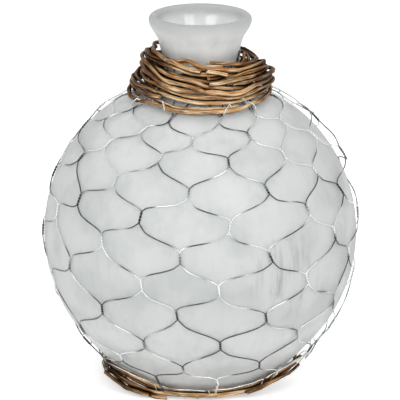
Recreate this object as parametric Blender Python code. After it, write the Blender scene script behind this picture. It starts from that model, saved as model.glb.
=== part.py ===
"""Bottle vase of satin glass in a sleeve of hexagonal wire netting.

A collar of wound willow twigs sits on the shoulder, over the gathered top of the netting, and a
ring of willow twigs lies round the foot, laced to the netting's lower edge by its hem wire.

Lengths are metres and angles are radians. The table is z = 0 and the vase's axis is the Z axis.
Azimuth 0 is the front (-Y), and it grows towards the right (+X). A place on the outside of the
glass is given by its azimuth and by its reach: the length along the glass's outline, upwards from
the ball's equator. Its lift is the distance straight out from the glass.
"""

import math

import bmesh
import bpy
import numpy as np

# Glass
BALL_RADIUS = 0.118
FLANK_LATITUDE = math.radians(42.0)  # below it the ball runs out into a straight flank
FLANK_FOOT_RADIUS = 0.058  # where the line of the flank meets the table
HEEL_FILLET = 0.006
FOOT_LAND = 0.010  # width of the flat ring that the vase stands on
PUNT_DEPTH = 0.006  # how far the middle of the foot is pushed up
SHOULDER_LATITUDE = math.radians(70.0)  # above it the ball turns up into the neck
WAIST_RADIUS = 0.0272
WAIST_RISE = 0.010  # from the top of the full ball to the neck's narrowest place
THROAT_SPREAD = 0.004  # how much wider the neck is where its flare begins
THROAT_RISE = 0.020
LIP_SPREAD = 0.0073  # from the start of the flare to the lip's widest place
LIP_RISE = 0.0162
LIP_CROWN = 0.0038  # from the lip's widest place to its top
LIP_WIDTH = 0.0068
WALL = 0.004
BASE_WALL = 0.007
GLASS_SEGMENTS = 32

# Netting
NET_COLUMNS = 11  # twists round the ball in each row
WIRE_RADIUS = 0.00045
TWIST_LENGTH = 0.009
FIRST_ROW_LATITUDE = math.radians(60.2)
ROW_STEP = math.radians(9.3)
ROW_GROWTH = math.radians(0.28)  # each row is a little further from the last one
EVEN_ROWS = 9
SQUEEZED_LATITUDES = (math.radians(-41.5), math.radians(-48.3))  # rows pressed up by the base ring
SQUEEZED_SHARES = (0.8, 0.55)  # their twists' lengths as shares of a full one
COLUMN_START = math.radians(14.4)
ROW_DRIFT = math.radians(-0.7)  # the columns lean a little to the left on their way down
AZIMUTH_UNEVEN = math.radians(1.1)  # how unevenly the netting is stretched
REACH_UNEVEN = 0.0009
NET_LEAVES_LATITUDE = math.radians(-34.0)  # below it the netting stands off the glass
NET_STAND_OFF = 0.15  # stand-off for each unit of length further down
NET_TOP_RISE = 0.0125  # from the neck's waist to the netting's upper ends

# Willow
TWIG_RADIUS = 0.00175
TWIG_TAPER = 0.88  # radius of a twig's thin end as a share of its thick end
POINTS_PER_TURN = 24
COLLAR_LATITUDE = math.radians(60.7)  # where the lower end of the collar's line sits on the ball
COLLAR_SEAT_LENGTH = 0.007  # of the line, along which it lies on the ball before it turns up
COLLAR_TOP_CLEARANCE = 0.0033  # from the neck, at the throat, out to the line's upper end
COLLAR_TOP_LEAN = math.radians(30.0)  # of the line from the upright, at its upper end
COLLAR_PILE_GAP = 0.00045  # between twigs that cross
COLLAR_DIP = 0.004  # how much lower the twigs lie at the front and the back than at the sides
# Twigs of the collar in the order in which they are laid: azimuth of the first end in degrees,
# turns, way up the collar's line in mm, climb in mm per turn, sway up and down in mm, azimuth of
# the side on which it sways up in degrees, and depth under the line in mm.
COLLAR_TWIGS = {
    "neck_willow_4": (-260, 2.0, 20.0, 6.0, 1.0, -100, 12.0),
    "neck_willow_5": (-240, 1.3, 30.0, 3.6, 1.0, -120, 9.0),
    "neck_willow_6": (-75, 0.8, 32.5, -5.0, 5.0, -100, 8.0),
    "neck_willow_9": (-130, 0.45, 23.2, -8.0, 12.6, -63, 6.0),
    "neck_willow_1": (-260, 2.0, 3.1, 4.7, 3.6, -152, 6.0),
    "neck_willow_10": (-52, 0.32, 30.0, 0.0, 17.0, -165, 6.0),
    "neck_willow_2": (-200, 1.7, 20.7, -6.2, 3.9, -126, 5.0),
    "neck_willow_3": (-150, 1.5, 15.3, 12.0, 9.0, -90, 5.0),
    "neck_willow_7": (-120, 0.85, 36.5, 0.0, 4.5, -115, 3.0),
    "neck_willow_12": (-130, 0.38, 24.0, 0.0, 8.0, -100, 4.0),
    "neck_willow_11": (-210, 0.58, 37.0, 0.0, 8.0, -120, 3.0),
    "neck_willow_8": (31, 0.4, 20.5, 0.0, 2.5, 0, 2.0),
}
RING_TURNS = (1.08, 1.06, 1.04)
RING_START = math.radians(-130.0)
RING_LANE_GAP = 0.0006  # between neighbouring turns of the base ring, at the front
RING_SPREAD = 0.25  # how much further apart they lie at the sides than at the front
RING_FLOOR_GAP = 0.0015  # room under the ring for the hem wire

# Fits
REST_GAP = 0.0003  # between two pieces that rest on each other
TWIG_END_GAP = 0.004  # between the ends of two twigs in the base ring
TIE_TURNS = 1.75
TIE_RISE = 0.004  # from the neck's waist to the tie wire's first turn
TIE_START = math.radians(-75.0)
TIE_POINTS = 20  # for each turn
HEM_RISE = 0.0012  # how far the hem wire runs above the middle of the ring's top turn
HEM_STEPS = 4  # straight lengths of hem wire between two lacings
HOOK_REACH = 0.0025  # from the hem wire up to where a netting wire comes free of it
LACE_ADVANCE = math.radians(2.6)  # azimuth that one lacing turn of the hem wire takes

# Sizes that follow from the ones above
HALF_PITCH = math.pi / NET_COLUMNS
WIRE_COUNT = 2 * NET_COLUMNS
TWIST_STEPS = 4  # straight lengths in the one full turn of a twist
# Two wires of a twist are nearest where their straight lengths pass each other half way.
TWIST_OFFSET = (WIRE_RADIUS + REST_GAP / 2) / math.cos(math.pi / TWIST_STEPS)
FLANK_TOP_RADIUS = BALL_RADIUS * math.cos(FLANK_LATITUDE)
FLANK_HEIGHT = (FLANK_TOP_RADIUS - FLANK_FOOT_RADIUS) / math.tan(FLANK_LATITUDE)
BALL_HEIGHT = FLANK_HEIGHT + BALL_RADIUS * math.sin(FLANK_LATITUDE)
FOOT_OUTER_RADIUS = FLANK_FOOT_RADIUS - HEEL_FILLET * math.tan((math.pi / 2 - FLANK_LATITUDE) / 2)
WAIST_HEIGHT = BALL_HEIGHT + BALL_RADIUS + WAIST_RISE
THROAT_HEIGHT = WAIST_HEIGHT + THROAT_RISE
THROAT_RADIUS = WAIST_RADIUS + THROAT_SPREAD
LIP_HEIGHT = THROAT_HEIGHT + LIP_RISE
LIP_RADIUS = THROAT_RADIUS + LIP_SPREAD


def cubic(start, start_pull, end, end_pull, count):
    """Points of a cubic curve, without its first one, from two ends and their tangents."""
    t = np.linspace(0.0, 1.0, count + 1)[1:, None]
    start, start_pull, end, end_pull = map(np.asarray, (start, start_pull, end, end_pull))
    return (
        (2 * t**3 - 3 * t**2 + 1) * start
        + (t**3 - 2 * t**2 + t) * start_pull
        + (3 * t**2 - 2 * t**3) * end
        + (t**3 - t**2) * end_pull
    )


def arc(centre, radii, start, end, count):
    """Points of an ellipse's arc, without its first one; the angles are counted from +R."""
    angle = np.linspace(start, end, count + 1)[1:]
    return np.column_stack((centre[0] + radii[0] * np.cos(angle), centre[1] + radii[1] * np.sin(angle)))


def ball_point(radius, latitude):
    """Radius and height of a point of the ball, or of its inner wall."""
    return radius * math.cos(latitude), BALL_HEIGHT + radius * math.sin(latitude)


def outer_line(detail):
    """Outline of the glass's outside, from the foot's outer edge up to the lip's widest place."""
    shoulder = ball_point(BALL_RADIUS, SHOULDER_LATITUDE)
    waist = (WAIST_RADIUS, WAIST_HEIGHT)
    throat = (THROAT_RADIUS, THROAT_HEIGHT)
    lip = (LIP_RADIUS, LIP_HEIGHT)
    pull = 1.1 * math.dist(shoulder, waist)
    leave = (-pull * math.sin(SHOULDER_LATITUDE), pull * math.cos(SHOULDER_LATITUDE))
    flare = (THROAT_SPREAD, THROAT_RISE)
    heel_centre = (FOOT_OUTER_RADIUS, HEEL_FILLET)
    heel_radii = (HEEL_FILLET, HEEL_FILLET)
    heel = arc(heel_centre, heel_radii, -math.pi / 2, -FLANK_LATITUDE, 2 * detail)
    share = np.linspace(0.0, 1.0, 2 * detail + 1)[1:, None]
    flank = heel[-1] + share * (np.array((FLANK_TOP_RADIUS, FLANK_HEIGHT)) - heel[-1])
    ball_radii = (BALL_RADIUS, BALL_RADIUS)
    ball = arc((0.0, BALL_HEIGHT), ball_radii, -FLANK_LATITUDE, SHOULDER_LATITUDE, 13 * detail)
    neck = cubic(shoulder, leave, waist, (0.0, pull), 4 * detail)
    throat_line = cubic(waist, (0.0, THROAT_RISE), throat, flare, 2 * detail)
    lip_line = cubic(throat, flare, lip, (0.0, LIP_RISE), 3 * detail)
    return np.vstack(([(FOOT_OUTER_RADIUS, 0.0)], heel, flank, ball, neck, throat_line, lip_line))


def inner_line():
    """Outline of the lip and the inside, from the lip's widest place down to the bottom's middle."""
    inner_ball = BALL_RADIUS - WALL
    lip = (LIP_RADIUS - LIP_WIDTH, LIP_HEIGHT)
    throat = (THROAT_RADIUS - WALL, THROAT_HEIGHT)
    waist = (WAIST_RADIUS - WALL, WAIST_HEIGHT)
    shoulder = ball_point(inner_ball, SHOULDER_LATITUDE)
    heel = ball_point(inner_ball, -FLANK_LATITUDE)
    bottom = (0.0, PUNT_DEPTH + BASE_WALL)
    flare = (-THROAT_SPREAD, -THROAT_RISE)
    pull = 1.1 * math.dist(shoulder, waist)
    arrive = (pull * math.sin(SHOULDER_LATITUDE), -pull * math.cos(SHOULDER_LATITUDE))
    sink = 0.7 * heel[0]
    leave = (-sink * math.sin(FLANK_LATITUDE), -sink * math.cos(FLANK_LATITUDE))
    lip_centre = (LIP_RADIUS - LIP_WIDTH / 2, LIP_HEIGHT)
    ball_radii = (inner_ball, inner_ball)
    return np.vstack(
        (
            arc(lip_centre, (LIP_WIDTH / 2, LIP_CROWN), 0.0, math.pi, 5),
            cubic(lip, (0.0, -LIP_RISE), throat, flare, 2),
            cubic(throat, flare, waist, (0.0, -THROAT_RISE), 2),
            cubic(waist, (0.0, -pull), shoulder, arrive, 3),
            arc((0.0, BALL_HEIGHT), ball_radii, SHOULDER_LATITUDE, -FLANK_LATITUDE, 9),
            cubic(heel, leave, bottom, (-sink, 0.0), 3),
        )
    )


def punt_line():
    """Outline of the foot's underside, from its middle out to the flat ring's inner edge."""
    edge = (FOOT_OUTER_RADIUS - FOOT_LAND, 0.0)
    pull = 0.9 * edge[0]
    up = (0.9 * pull, -2.0 * PUNT_DEPTH)
    return np.vstack(([(0.0, PUNT_DEPTH)], cubic((0.0, PUNT_DEPTH), (pull, 0.0), edge, up, 3)))


# The outline in fine steps, with each point's reach, places everything that lies on the glass.
TRACK = outer_line(40)
TRACK_REACH = np.concatenate(([0.0], np.cumsum(np.linalg.norm(np.diff(TRACK, axis=0), axis=1))))
TRACK_REACH -= np.interp(BALL_HEIGHT, TRACK[:, 1], TRACK_REACH)
TRACK_TANGENT = np.gradient(TRACK, TRACK_REACH, axis=0)
TRACK_TANGENT /= np.linalg.norm(TRACK_TANGENT, axis=1)[:, None]


def beside_glass(reach, lift):
    """Radius and height of the place at this reach and this lift from the glass."""
    radius = np.interp(reach, TRACK_REACH, TRACK[:, 0])
    height = np.interp(reach, TRACK_REACH, TRACK[:, 1])
    along_radius = np.interp(reach, TRACK_REACH, TRACK_TANGENT[:, 0])
    along_height = np.interp(reach, TRACK_REACH, TRACK_TANGENT[:, 1])
    return radius + lift * along_height, height - lift * along_radius


def reach_at_height(height, lift=0.0):
    """Reach at which a line at this lift passes the given height."""
    return float(np.interp(height, beside_glass(TRACK_REACH, lift)[1], TRACK_REACH))


def place(azimuth, radius, height):
    """Point in space from an azimuth, a radius and a height."""
    return np.array((radius * math.sin(azimuth), -radius * math.cos(azimuth), height))


def chord_sag(radius, steps):
    """How far the middle of a chord lies inside a circle that is drawn in this many steps."""
    return radius * (1.0 - math.cos(math.pi / steps))


def on_line(at, way_along, values):
    """Rows of values along a line, read off at other places on it."""
    return np.column_stack([np.interp(at, way_along, column) for column in values.T])


def make_material(name, colour, roughness, metallic=0.0, transmission=0.0):
    """A plain Principled material."""
    material = bpy.data.materials.new(name)
    material.use_nodes = True
    shader = material.node_tree.nodes["Principled BSDF"]
    shader.inputs["Base Color"].default_value = (*colour, 1.0)
    shader.inputs["Roughness"].default_value = roughness
    shader.inputs["Metallic"].default_value = metallic
    shader.inputs["Transmission Weight"].default_value = transmission
    return material


def add_object(name, data, material):
    """Put a mesh or a curve into the scene as the named piece."""
    data.materials.append(material)
    piece = bpy.data.objects.new(name, data)
    bpy.context.collection.objects.link(piece)
    return piece


def make_glass(material):
    """Spin the glass's closed outline once round the axis."""
    outline = np.vstack((punt_line(), outer_line(1), inner_line()))
    shape = bmesh.new()
    ring = [shape.verts.new((radius, 0.0, height)) for radius, height in outline]
    edges = [shape.edges.new(pair) for pair in zip(ring, ring[1:])]
    bmesh.ops.spin(
        shape,
        geom=ring + edges,
        axis=(0.0, 0.0, 1.0),
        cent=(0.0, 0.0, 0.0),
        steps=GLASS_SEGMENTS,
        angle=2 * math.pi,
        use_merge=True,
    )
    bmesh.ops.remove_doubles(shape, verts=shape.verts, dist=1e-6)
    bmesh.ops.recalc_face_normals(shape, faces=shape.faces)
    mesh = bpy.data.meshes.new("glass_vase")
    shape.to_mesh(mesh)
    shape.free()
    mesh.shade_smooth()
    return add_object("glass_vase", mesh, material)


def make_wire(name, points, material):
    """A three-sided tube along the points, with flat ends and no turn about its own line."""
    points = np.array(points)
    ahead = np.diff(points, axis=0)
    ahead /= np.linalg.norm(ahead, axis=1)[:, None]
    tangents = np.vstack((ahead[:1], ahead[:-1] + ahead[1:], ahead[-1:]))
    tangents /= np.linalg.norm(tangents, axis=1)[:, None]
    side = np.cross(tangents[0], (0.0, 0.0, 1.0))
    if np.linalg.norm(side) < 0.1:
        side = np.cross(tangents[0], (1.0, 0.0, 0.0))
    shape = bmesh.new()
    rings = []
    for point, tangent in zip(points, tangents):
        side = side - tangent * np.dot(side, tangent)
        side /= np.linalg.norm(side)
        across = np.cross(tangent, side)
        corners = []
        for corner in range(3):
            turn = 2 * math.pi * corner / 3
            offset = math.cos(turn) * side + math.sin(turn) * across
            corners.append(shape.verts.new(point + WIRE_RADIUS * offset))
        rings.append(corners)
    for near, far in zip(rings, rings[1:]):
        for corner in range(3):
            following = (corner + 1) % 3
            shape.faces.new((near[corner], near[following], far[following], far[corner]))
    shape.faces.new(reversed(rings[0]))
    shape.faces.new(rings[-1])
    mesh = bpy.data.meshes.new(name)
    shape.to_mesh(mesh)
    shape.free()
    mesh.shade_smooth()
    return add_object(name, mesh, material)


def twig_taper(count):
    """Radii of a twig at this many points along it, as shares of its thick end's radius."""
    return np.linspace(1.0, TWIG_TAPER, count)


def make_twig(name, points, material):
    """A six-sided tube along the points that tapers from the thick end to the thin one."""
    curve = bpy.data.curves.new(name, "CURVE")
    curve.dimensions = "3D"
    curve.bevel_depth = TWIG_RADIUS
    curve.bevel_resolution = 1
    curve.use_fill_caps = True
    line = curve.splines.new("POLY")
    line.points.add(len(points) - 1)
    for spot, point, share in zip(line.points, points, twig_taper(len(points))):
        spot.co = (*point, 1.0)
        spot.radius = share
    line.use_smooth = True
    return add_object(name, curve, material)


def report_least_gap(name, points):
    """Print how near a wound twig comes to itself, measured between points half a turn apart."""
    order = np.arange(0.0, len(points) - 0.5, 0.5)
    middles = on_line(order, np.arange(len(points)), np.array(points))
    radii = TWIG_RADIUS * np.linspace(1.0, TWIG_TAPER, len(order))
    apart = np.linalg.norm(middles[:, None] - middles[None], axis=2)
    far_along = np.abs(order[:, None] - order[None]) > POINTS_PER_TURN / 2
    if far_along.any():
        least = (apart - radii[:, None] - radii[None])[far_along].min()
        print(f"{name}: least gap to itself {1000 * least:.2f} mm")


def row_latitude(row):
    """Latitude of a row of twists; row 1 is the highest."""
    if row > EVEN_ROWS:
        return SQUEEZED_LATITUDES[row - EVEN_ROWS - 1]
    below = row - 1
    return FIRST_ROW_LATITUDE - ROW_STEP * below - ROW_GROWTH * below * (below - 1)


def twist_length(row):
    """Length of the twists in a row."""
    return TWIST_LENGTH * (SQUEEZED_SHARES[row - EVEN_ROWS - 1] if row > EVEN_ROWS else 1.0)


def twist_azimuth(row, column):
    """Azimuth of a twist, with the slight unevenness of netting stretched by hand."""
    wave = math.sin(2 * math.pi * 7 * column / WIRE_COUNT + 1.9 * row)
    return COLUMN_START + column * HALF_PITCH + ROW_DRIFT * row + AZIMUTH_UNEVEN * wave


def twist_reach(row, column):
    """Reach of a twist's middle; the squeezed rows lie level."""
    wave = math.sin(2 * math.pi * 5 * column / WIRE_COUNT + 2.3 * row)
    uneven = REACH_UNEVEN if row <= EVEN_ROWS else 0.0
    return row_latitude(row) * BALL_RADIUS + uneven * wave


def net_lift(reach, rest):
    """Lift of the netting: it rests on the glass, and stands off below a certain latitude."""
    return rest + NET_STAND_OFF * max(0.0, NET_LEAVES_LATITUDE * BALL_RADIUS - reach)


LAST_ROW = EVEN_ROWS + len(SQUEEZED_LATITUDES)
TWIST_LIFT = REST_GAP + WIRE_RADIUS + TWIST_OFFSET
# A straight length between twists spans under half of a half pitch on the ball.
WIRE_LIFT = REST_GAP + WIRE_RADIUS + chord_sag(BALL_RADIUS, 2 * math.pi / (0.5 * HALF_PITCH))


def twist_points(row, column, start_turn):
    """One wire's turn round a twist, from its top down; the partner starts half a turn away."""
    azimuth = twist_azimuth(row, column)
    middle = twist_reach(row, column)
    length = twist_length(row)
    points = []
    for step in range(TWIST_STEPS + 1):
        reach = middle + length * (0.5 - step / TWIST_STEPS)
        turn = start_turn + 2 * math.pi * step / TWIST_STEPS
        lift = net_lift(reach, TWIST_LIFT) + TWIST_OFFSET * math.sin(turn)
        radius, height = beside_glass(reach, lift)
        aside = TWIST_OFFSET * math.cos(turn) / radius
        points.append(place(azimuth + aside, radius, height))
    return points


def diagonal_points(row, column, next_column):
    """Inner points of the soft S between a twist and the one below it in the next column."""
    start = twist_azimuth(row, column)
    end = twist_azimuth(row + 1, next_column)
    top = twist_reach(row, column) - twist_length(row) / 2
    bottom = twist_reach(row + 1, next_column) + twist_length(row + 1) / 2
    shares = ((0.25, 0.38), (0.75, 0.62)) if row < LAST_ROW - 1 else ((0.5, 0.5),)
    points = []
    for aside, down in shares:
        reach = top + down * (bottom - top)
        radius, height = beside_glass(reach, net_lift(reach, WIRE_LIFT))
        points.append(place(start + aside * (end - start), radius, height))
    return points


def gathered_points(azimuth, column):
    """The netting wire above its first twist: up the shoulder and the neck, from the top down."""
    twist_top = twist_reach(1, column) + twist_length(1) / 2
    top = reach_at_height(WAIST_HEIGHT + NET_TOP_RISE)
    turn_in = SHOULDER_LATITUDE * BALL_RADIUS
    points = [
        place(azimuth, *beside_glass(reach, WIRE_LIFT)) for reach in np.linspace(top, turn_in, 5)
    ]
    start = twist_azimuth(1, column)
    leave = start + 0.22 * (azimuth - start)
    points.append(place(leave, *beside_glass(twist_top + 2 * TWIST_OFFSET, WIRE_LIFT)))
    return points


RING_LIFT = (
    2 * REST_GAP
    + 2 * WIRE_RADIUS
    + TWIG_RADIUS
    + chord_sag(FLANK_FOOT_RADIUS + FLANK_HEIGHT / 2, POINTS_PER_TURN)
)
RING_LANE = 2 * TWIG_RADIUS + RING_LANE_GAP
RING_FLOOR_REACH = reach_at_height(RING_FLOOR_GAP + TWIG_RADIUS, RING_LIFT)
RING_TOTAL = sum(RING_TURNS)
HEM_LIFT = RING_LIFT + TWIG_RADIUS + 2 * REST_GAP + WIRE_RADIUS
LACE_LIFT = 2 * REST_GAP + WIRE_RADIUS


def ring_reach(azimuth, turns):
    """Reach of the base ring's winding after this many turns."""
    spread = 1.0 + RING_SPREAD * math.sin(azimuth) ** 2
    return RING_FLOOR_REACH + turns * RING_LANE * spread


def ring_turn(azimuth):
    """Share of a turn between the start of the base ring's winding and an azimuth."""
    return ((azimuth - RING_START) / (2 * math.pi)) % 1.0


def hem_reach(azimuth):
    """Reach of the hem wire: it follows the ring's top turn and eases over the winding's end."""
    turned = ring_turn(azimuth)
    fall = min(1.0, turned / 0.3)
    ease = fall * fall * (3 - 2 * fall)
    return ring_reach(azimuth, math.floor(RING_TOTAL) + turned - ease) + HEM_RISE


def lace_points(azimuth):
    """One turn of the hem wire round the base ring, down its outside and up behind it."""
    turned = ring_turn(azimuth)
    overlap = RING_TOTAL - math.floor(RING_TOTAL)
    top_turn = math.floor(RING_TOTAL) + turned - (0.0 if turned < overlap + 0.03 else 1.0)
    top = ring_reach(azimuth, top_turn)
    clear = TWIG_RADIUS + 2 * REST_GAP + WIRE_RADIUS
    ring_radius, _ = beside_glass(ring_reach(azimuth, 0.0), RING_LIFT)
    under = RING_FLOOR_GAP - REST_GAP - WIRE_RADIUS
    places = (
        beside_glass(hem_reach(azimuth), HEM_LIFT),
        (ring_radius + TWIG_RADIUS, under),
        (ring_radius - TWIG_RADIUS / 2, under),
        beside_glass(RING_FLOOR_REACH - 1.7 * TWIG_RADIUS, LACE_LIFT),
        beside_glass(top + TWIG_RADIUS, LACE_LIFT),
        beside_glass(top + clear, RING_LIFT),
        beside_glass(top + 0.6 * clear, HEM_LIFT),
        beside_glass(hem_reach(azimuth + LACE_ADVANCE / 2), HEM_LIFT),
    )
    start = azimuth - LACE_ADVANCE / 2
    step = LACE_ADVANCE / (len(places) - 1)
    return [place(start + step * index, *spot) for index, spot in enumerate(places)]


def hook_points(azimuth):
    """The end of a netting wire: down outside the hem wire and in under it."""
    hem = hem_reach(azimuth)
    outside = HEM_LIFT + 2 * WIRE_RADIUS + 1.5 * REST_GAP
    below = 2 * WIRE_RADIUS + 2 * REST_GAP
    return [
        place(azimuth, *beside_glass(hem + HOOK_REACH, outside)),
        place(azimuth, *beside_glass(hem - REST_GAP, outside)),
        place(azimuth, *beside_glass(hem - below, HEM_LIFT + REST_GAP)),
    ]


def make_net_wire(wire, material):
    """One wire, which zigzags between two neighbouring columns and twists with a neighbour in each."""
    columns = {}
    for row in range(1, LAST_ROW + 1):
        columns[row] = wire if (wire + row) % 2 else wire + 1
    lane = COLUMN_START + (wire + 0.5) * HALF_PITCH
    points = gathered_points(lane, columns[1])
    for row, column in columns.items():
        start_turn = 0.0 if column == wire else math.pi
        points.extend(twist_points(row, column, start_turn))
        if row < LAST_ROW:
            points.extend(diagonal_points(row, column, columns[row + 1]))
    points.extend(hook_points(lane + ROW_DRIFT * (LAST_ROW + 1)))
    return make_wire(f"net_wire_{wire + 1:02d}", points, material)


def make_hem_wire(material):
    """The hem wire: level lengths along the ring's top, and a lacing turn under each last twist."""
    points = []
    for column in range(0, WIRE_COUNT, 2):
        azimuth = COLUMN_START + column * HALF_PITCH + ROW_DRIFT * LAST_ROW
        points.extend(lace_points(azimuth))
        span = 2 * HALF_PITCH - LACE_ADVANCE
        for step in range(1, HEM_STEPS):
            along = azimuth + LACE_ADVANCE / 2 + span * step / HEM_STEPS
            points.append(place(along, *beside_glass(hem_reach(along), HEM_LIFT)))
    return make_wire("net_hem_wire", points, material)


def make_tie_wire(material):
    """The wire that gathers the netting round the neck's waist, under the collar."""
    total = round(TIE_TURNS * TIE_POINTS)
    sag = chord_sag(WAIST_RADIUS + TWIST_OFFSET, TIE_POINTS)
    lift = WIRE_LIFT + 2 * WIRE_RADIUS + REST_GAP + sag
    pitch = 2 * WIRE_RADIUS + 2 * REST_GAP
    first = WAIST_HEIGHT + TIE_RISE
    points = []
    for step in range(total + 1):
        turned = step / TIE_POINTS
        radius, _ = beside_glass(reach_at_height(first + pitch * turned), lift)
        points.append(place(TIE_START + 2 * math.pi * turned, radius, first + pitch * turned))
    return make_wire("neck_tie_wire", points, material)


# The collar's line is about the outermost that its twigs' middles come. It lies on the netting round
# the ball at first, where the wires come out of the highest twists, and then turns up and leans in
# towards the throat.
MM = 0.001
COLLAR_SEAT = TWIST_LIFT + WIRE_RADIUS + REST_GAP + TWIG_RADIUS
PILE_STEPS = 6  # places tested along each straight length of a twig
PILE_ROUNDS = 12
FULL_CIRCLE = POINTS_PER_TURN * PILE_STEPS


def collar_line():
    """The collar's line: the way up it, its points, its outward directions and the room behind it."""
    foot = COLLAR_LATITUDE * BALL_RADIUS
    lift = COLLAR_SEAT + chord_sag(BALL_RADIUS * math.cos(COLLAR_LATITUDE), POINTS_PER_TURN)
    seat = np.column_stack(beside_glass(foot + np.linspace(0.0, COLLAR_SEAT_LENGTH, 8), lift))
    top = np.array((THROAT_RADIUS + COLLAR_TOP_CLEARANCE, THROAT_HEIGHT))
    pull = 0.82 * math.dist(seat[-1], top)
    arrive = (-pull * math.sin(COLLAR_TOP_LEAN), pull * math.cos(COLLAR_TOP_LEAN))
    line = np.vstack((seat, cubic(seat[-1], (0.0, pull), top, arrive, 60)))
    way_up = np.concatenate(([0.0], np.cumsum(np.linalg.norm(np.diff(line, axis=0), axis=1))))
    slope = np.gradient(line, way_up, axis=0)
    slope /= np.linalg.norm(slope, axis=1)[:, None]
    to_glass = np.linalg.norm(line[:, None] - TRACK[None], axis=2).min(axis=1)
    return way_up, line, np.column_stack((slope[:, 1], -slope[:, 0])), to_glass - lift


def pile_up(laid, places, seats, outward, lift):
    """Lifts of a new twig over its seats, raised where it would run into the twigs laid before it.

    Twigs are compared in planes through the axis. In each plane the new twig's middle keeps both
    radii and a gap from every middle that is there. Where it comes nearer, both ends of its
    straight length go up to the other's height over their seat plus one leg of a right triangle,
    whose other leg is how far the other lies aside. The twig's first turn is laid before its next
    one.
    """
    order = np.arange(len(places))
    radii = TWIG_RADIUS * twig_taper(len(places))
    lift = lift.copy()
    for start in range(0, len(places), POINTS_PER_TURN):
        first = max(start - 1, 0)
        last = min(start + POINTS_PER_TURN, len(places)) - 1
        fine = np.arange(first * PILE_STEPS, last * PILE_STEPS + 1)
        plane = (places[0] * PILE_STEPS + fine) % FULL_CIRCLE
        seat = on_line(fine / PILE_STEPS, order, seats)
        out = on_line(fine / PILE_STEPS, order, outward)
        spot = on_line(fine / PILE_STEPS, order, seats + lift[:, None] * outward)
        radius = np.interp(fine / PILE_STEPS, order, radii)
        for _ in range(PILE_ROUNDS):
            need = np.full(len(fine), -np.inf)
            for other_plane, other, other_radius in laid:
                keep = radius[:, None] + other_radius[None] + COLLAR_PILE_GAP
                near = np.linalg.norm(other[None] - spot[:, None], axis=2) < 0.999 * keep
                meets = near & (plane[:, None] == other_plane[None])
                towards = other[None] - seat[:, None]
                above = np.sum(towards * out[:, None], axis=2)
                aside = towards[..., 0] * out[:, None, 1] - towards[..., 1] * out[:, None, 0]
                over = above + np.sqrt(np.maximum(0.0, keep**2 - aside**2))
                need = np.maximum(need, np.where(meets, over, -np.inf).max(axis=1))
            if not np.isfinite(need).any():
                break
            for index in range(start, last + 1):
                beside = np.abs(fine - index * PILE_STEPS) < PILE_STEPS
                lift[index] = max(lift[index], need[beside].max())
            spot = on_line(fine / PILE_STEPS, order, seats + lift[:, None] * outward)
        laid.append((plane, spot, radius))
    return lift


def make_collar(material):
    """The collar's twigs, each laid across the ones before it."""
    line_way_up, line, line_outward, room = collar_line()
    laid = []
    for name, (start, turns, first, climb, sway, high_side, depth) in COLLAR_TWIGS.items():
        count = round(turns * POINTS_PER_TURN) + 1
        places = round(start * POINTS_PER_TURN / 360) + np.arange(count)
        azimuth = 2 * math.pi * places / POINTS_PER_TURN
        turned = (places - places[0]) / POINTS_PER_TURN
        way_up = MM * (first + climb * turned + sway * np.cos(azimuth - math.radians(high_side)))
        way_up = np.clip(way_up + COLLAR_DIP * np.sin(azimuth) ** 2, 0.0, line_way_up[-1])
        seats = on_line(way_up, line_way_up, line)
        outward = on_line(way_up, line_way_up, line_outward)
        bed = -np.clip(np.interp(way_up, line_way_up, room), 0.0, depth * MM)
        lift = pile_up(laid, places, seats, outward, bed)
        spots = seats + lift[:, None] * outward
        points = [place(angle, *spot) for angle, spot in zip(azimuth, spots)]
        make_twig(name, points, material)
        report_least_gap(name, points)


def make_base_ring(material):
    """The base ring's twigs, one after another along a winding that climbs the flank."""
    done = 0.0
    for index, count in enumerate(RING_TURNS):
        name = f"base_willow_{index + 1}"
        end_gap = TWIG_END_GAP / (2 * math.pi * FLANK_FOOT_RADIUS)
        steps = round(count * POINTS_PER_TURN)
        points = []
        for turned in np.linspace(done, done + count - end_gap, steps + 1):
            azimuth = RING_START + 2 * math.pi * turned
            spot = beside_glass(ring_reach(azimuth, turned), RING_LIFT)
            points.append(place(azimuth, *spot))
        make_twig(name, points, material)
        report_least_gap(name, points)
        done += count


def main():
    """Build the vase."""
    for old in list(bpy.data.objects):
        bpy.data.objects.remove(old, do_unlink=True)
    glass = make_material("satin_glass", (0.80, 0.83, 0.82), 0.45, transmission=0.6)
    wire = make_material("galvanised_wire", (0.42, 0.43, 0.43), 0.35, metallic=1.0)
    willow = make_material("willow_bark", (0.36, 0.22, 0.12), 0.7)
    make_glass(glass)
    for index in range(WIRE_COUNT):
        make_net_wire(index, wire)
    make_hem_wire(wire)
    make_tie_wire(wire)
    make_collar(willow)
    make_base_ring(willow)


main()
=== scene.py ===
import math

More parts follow.
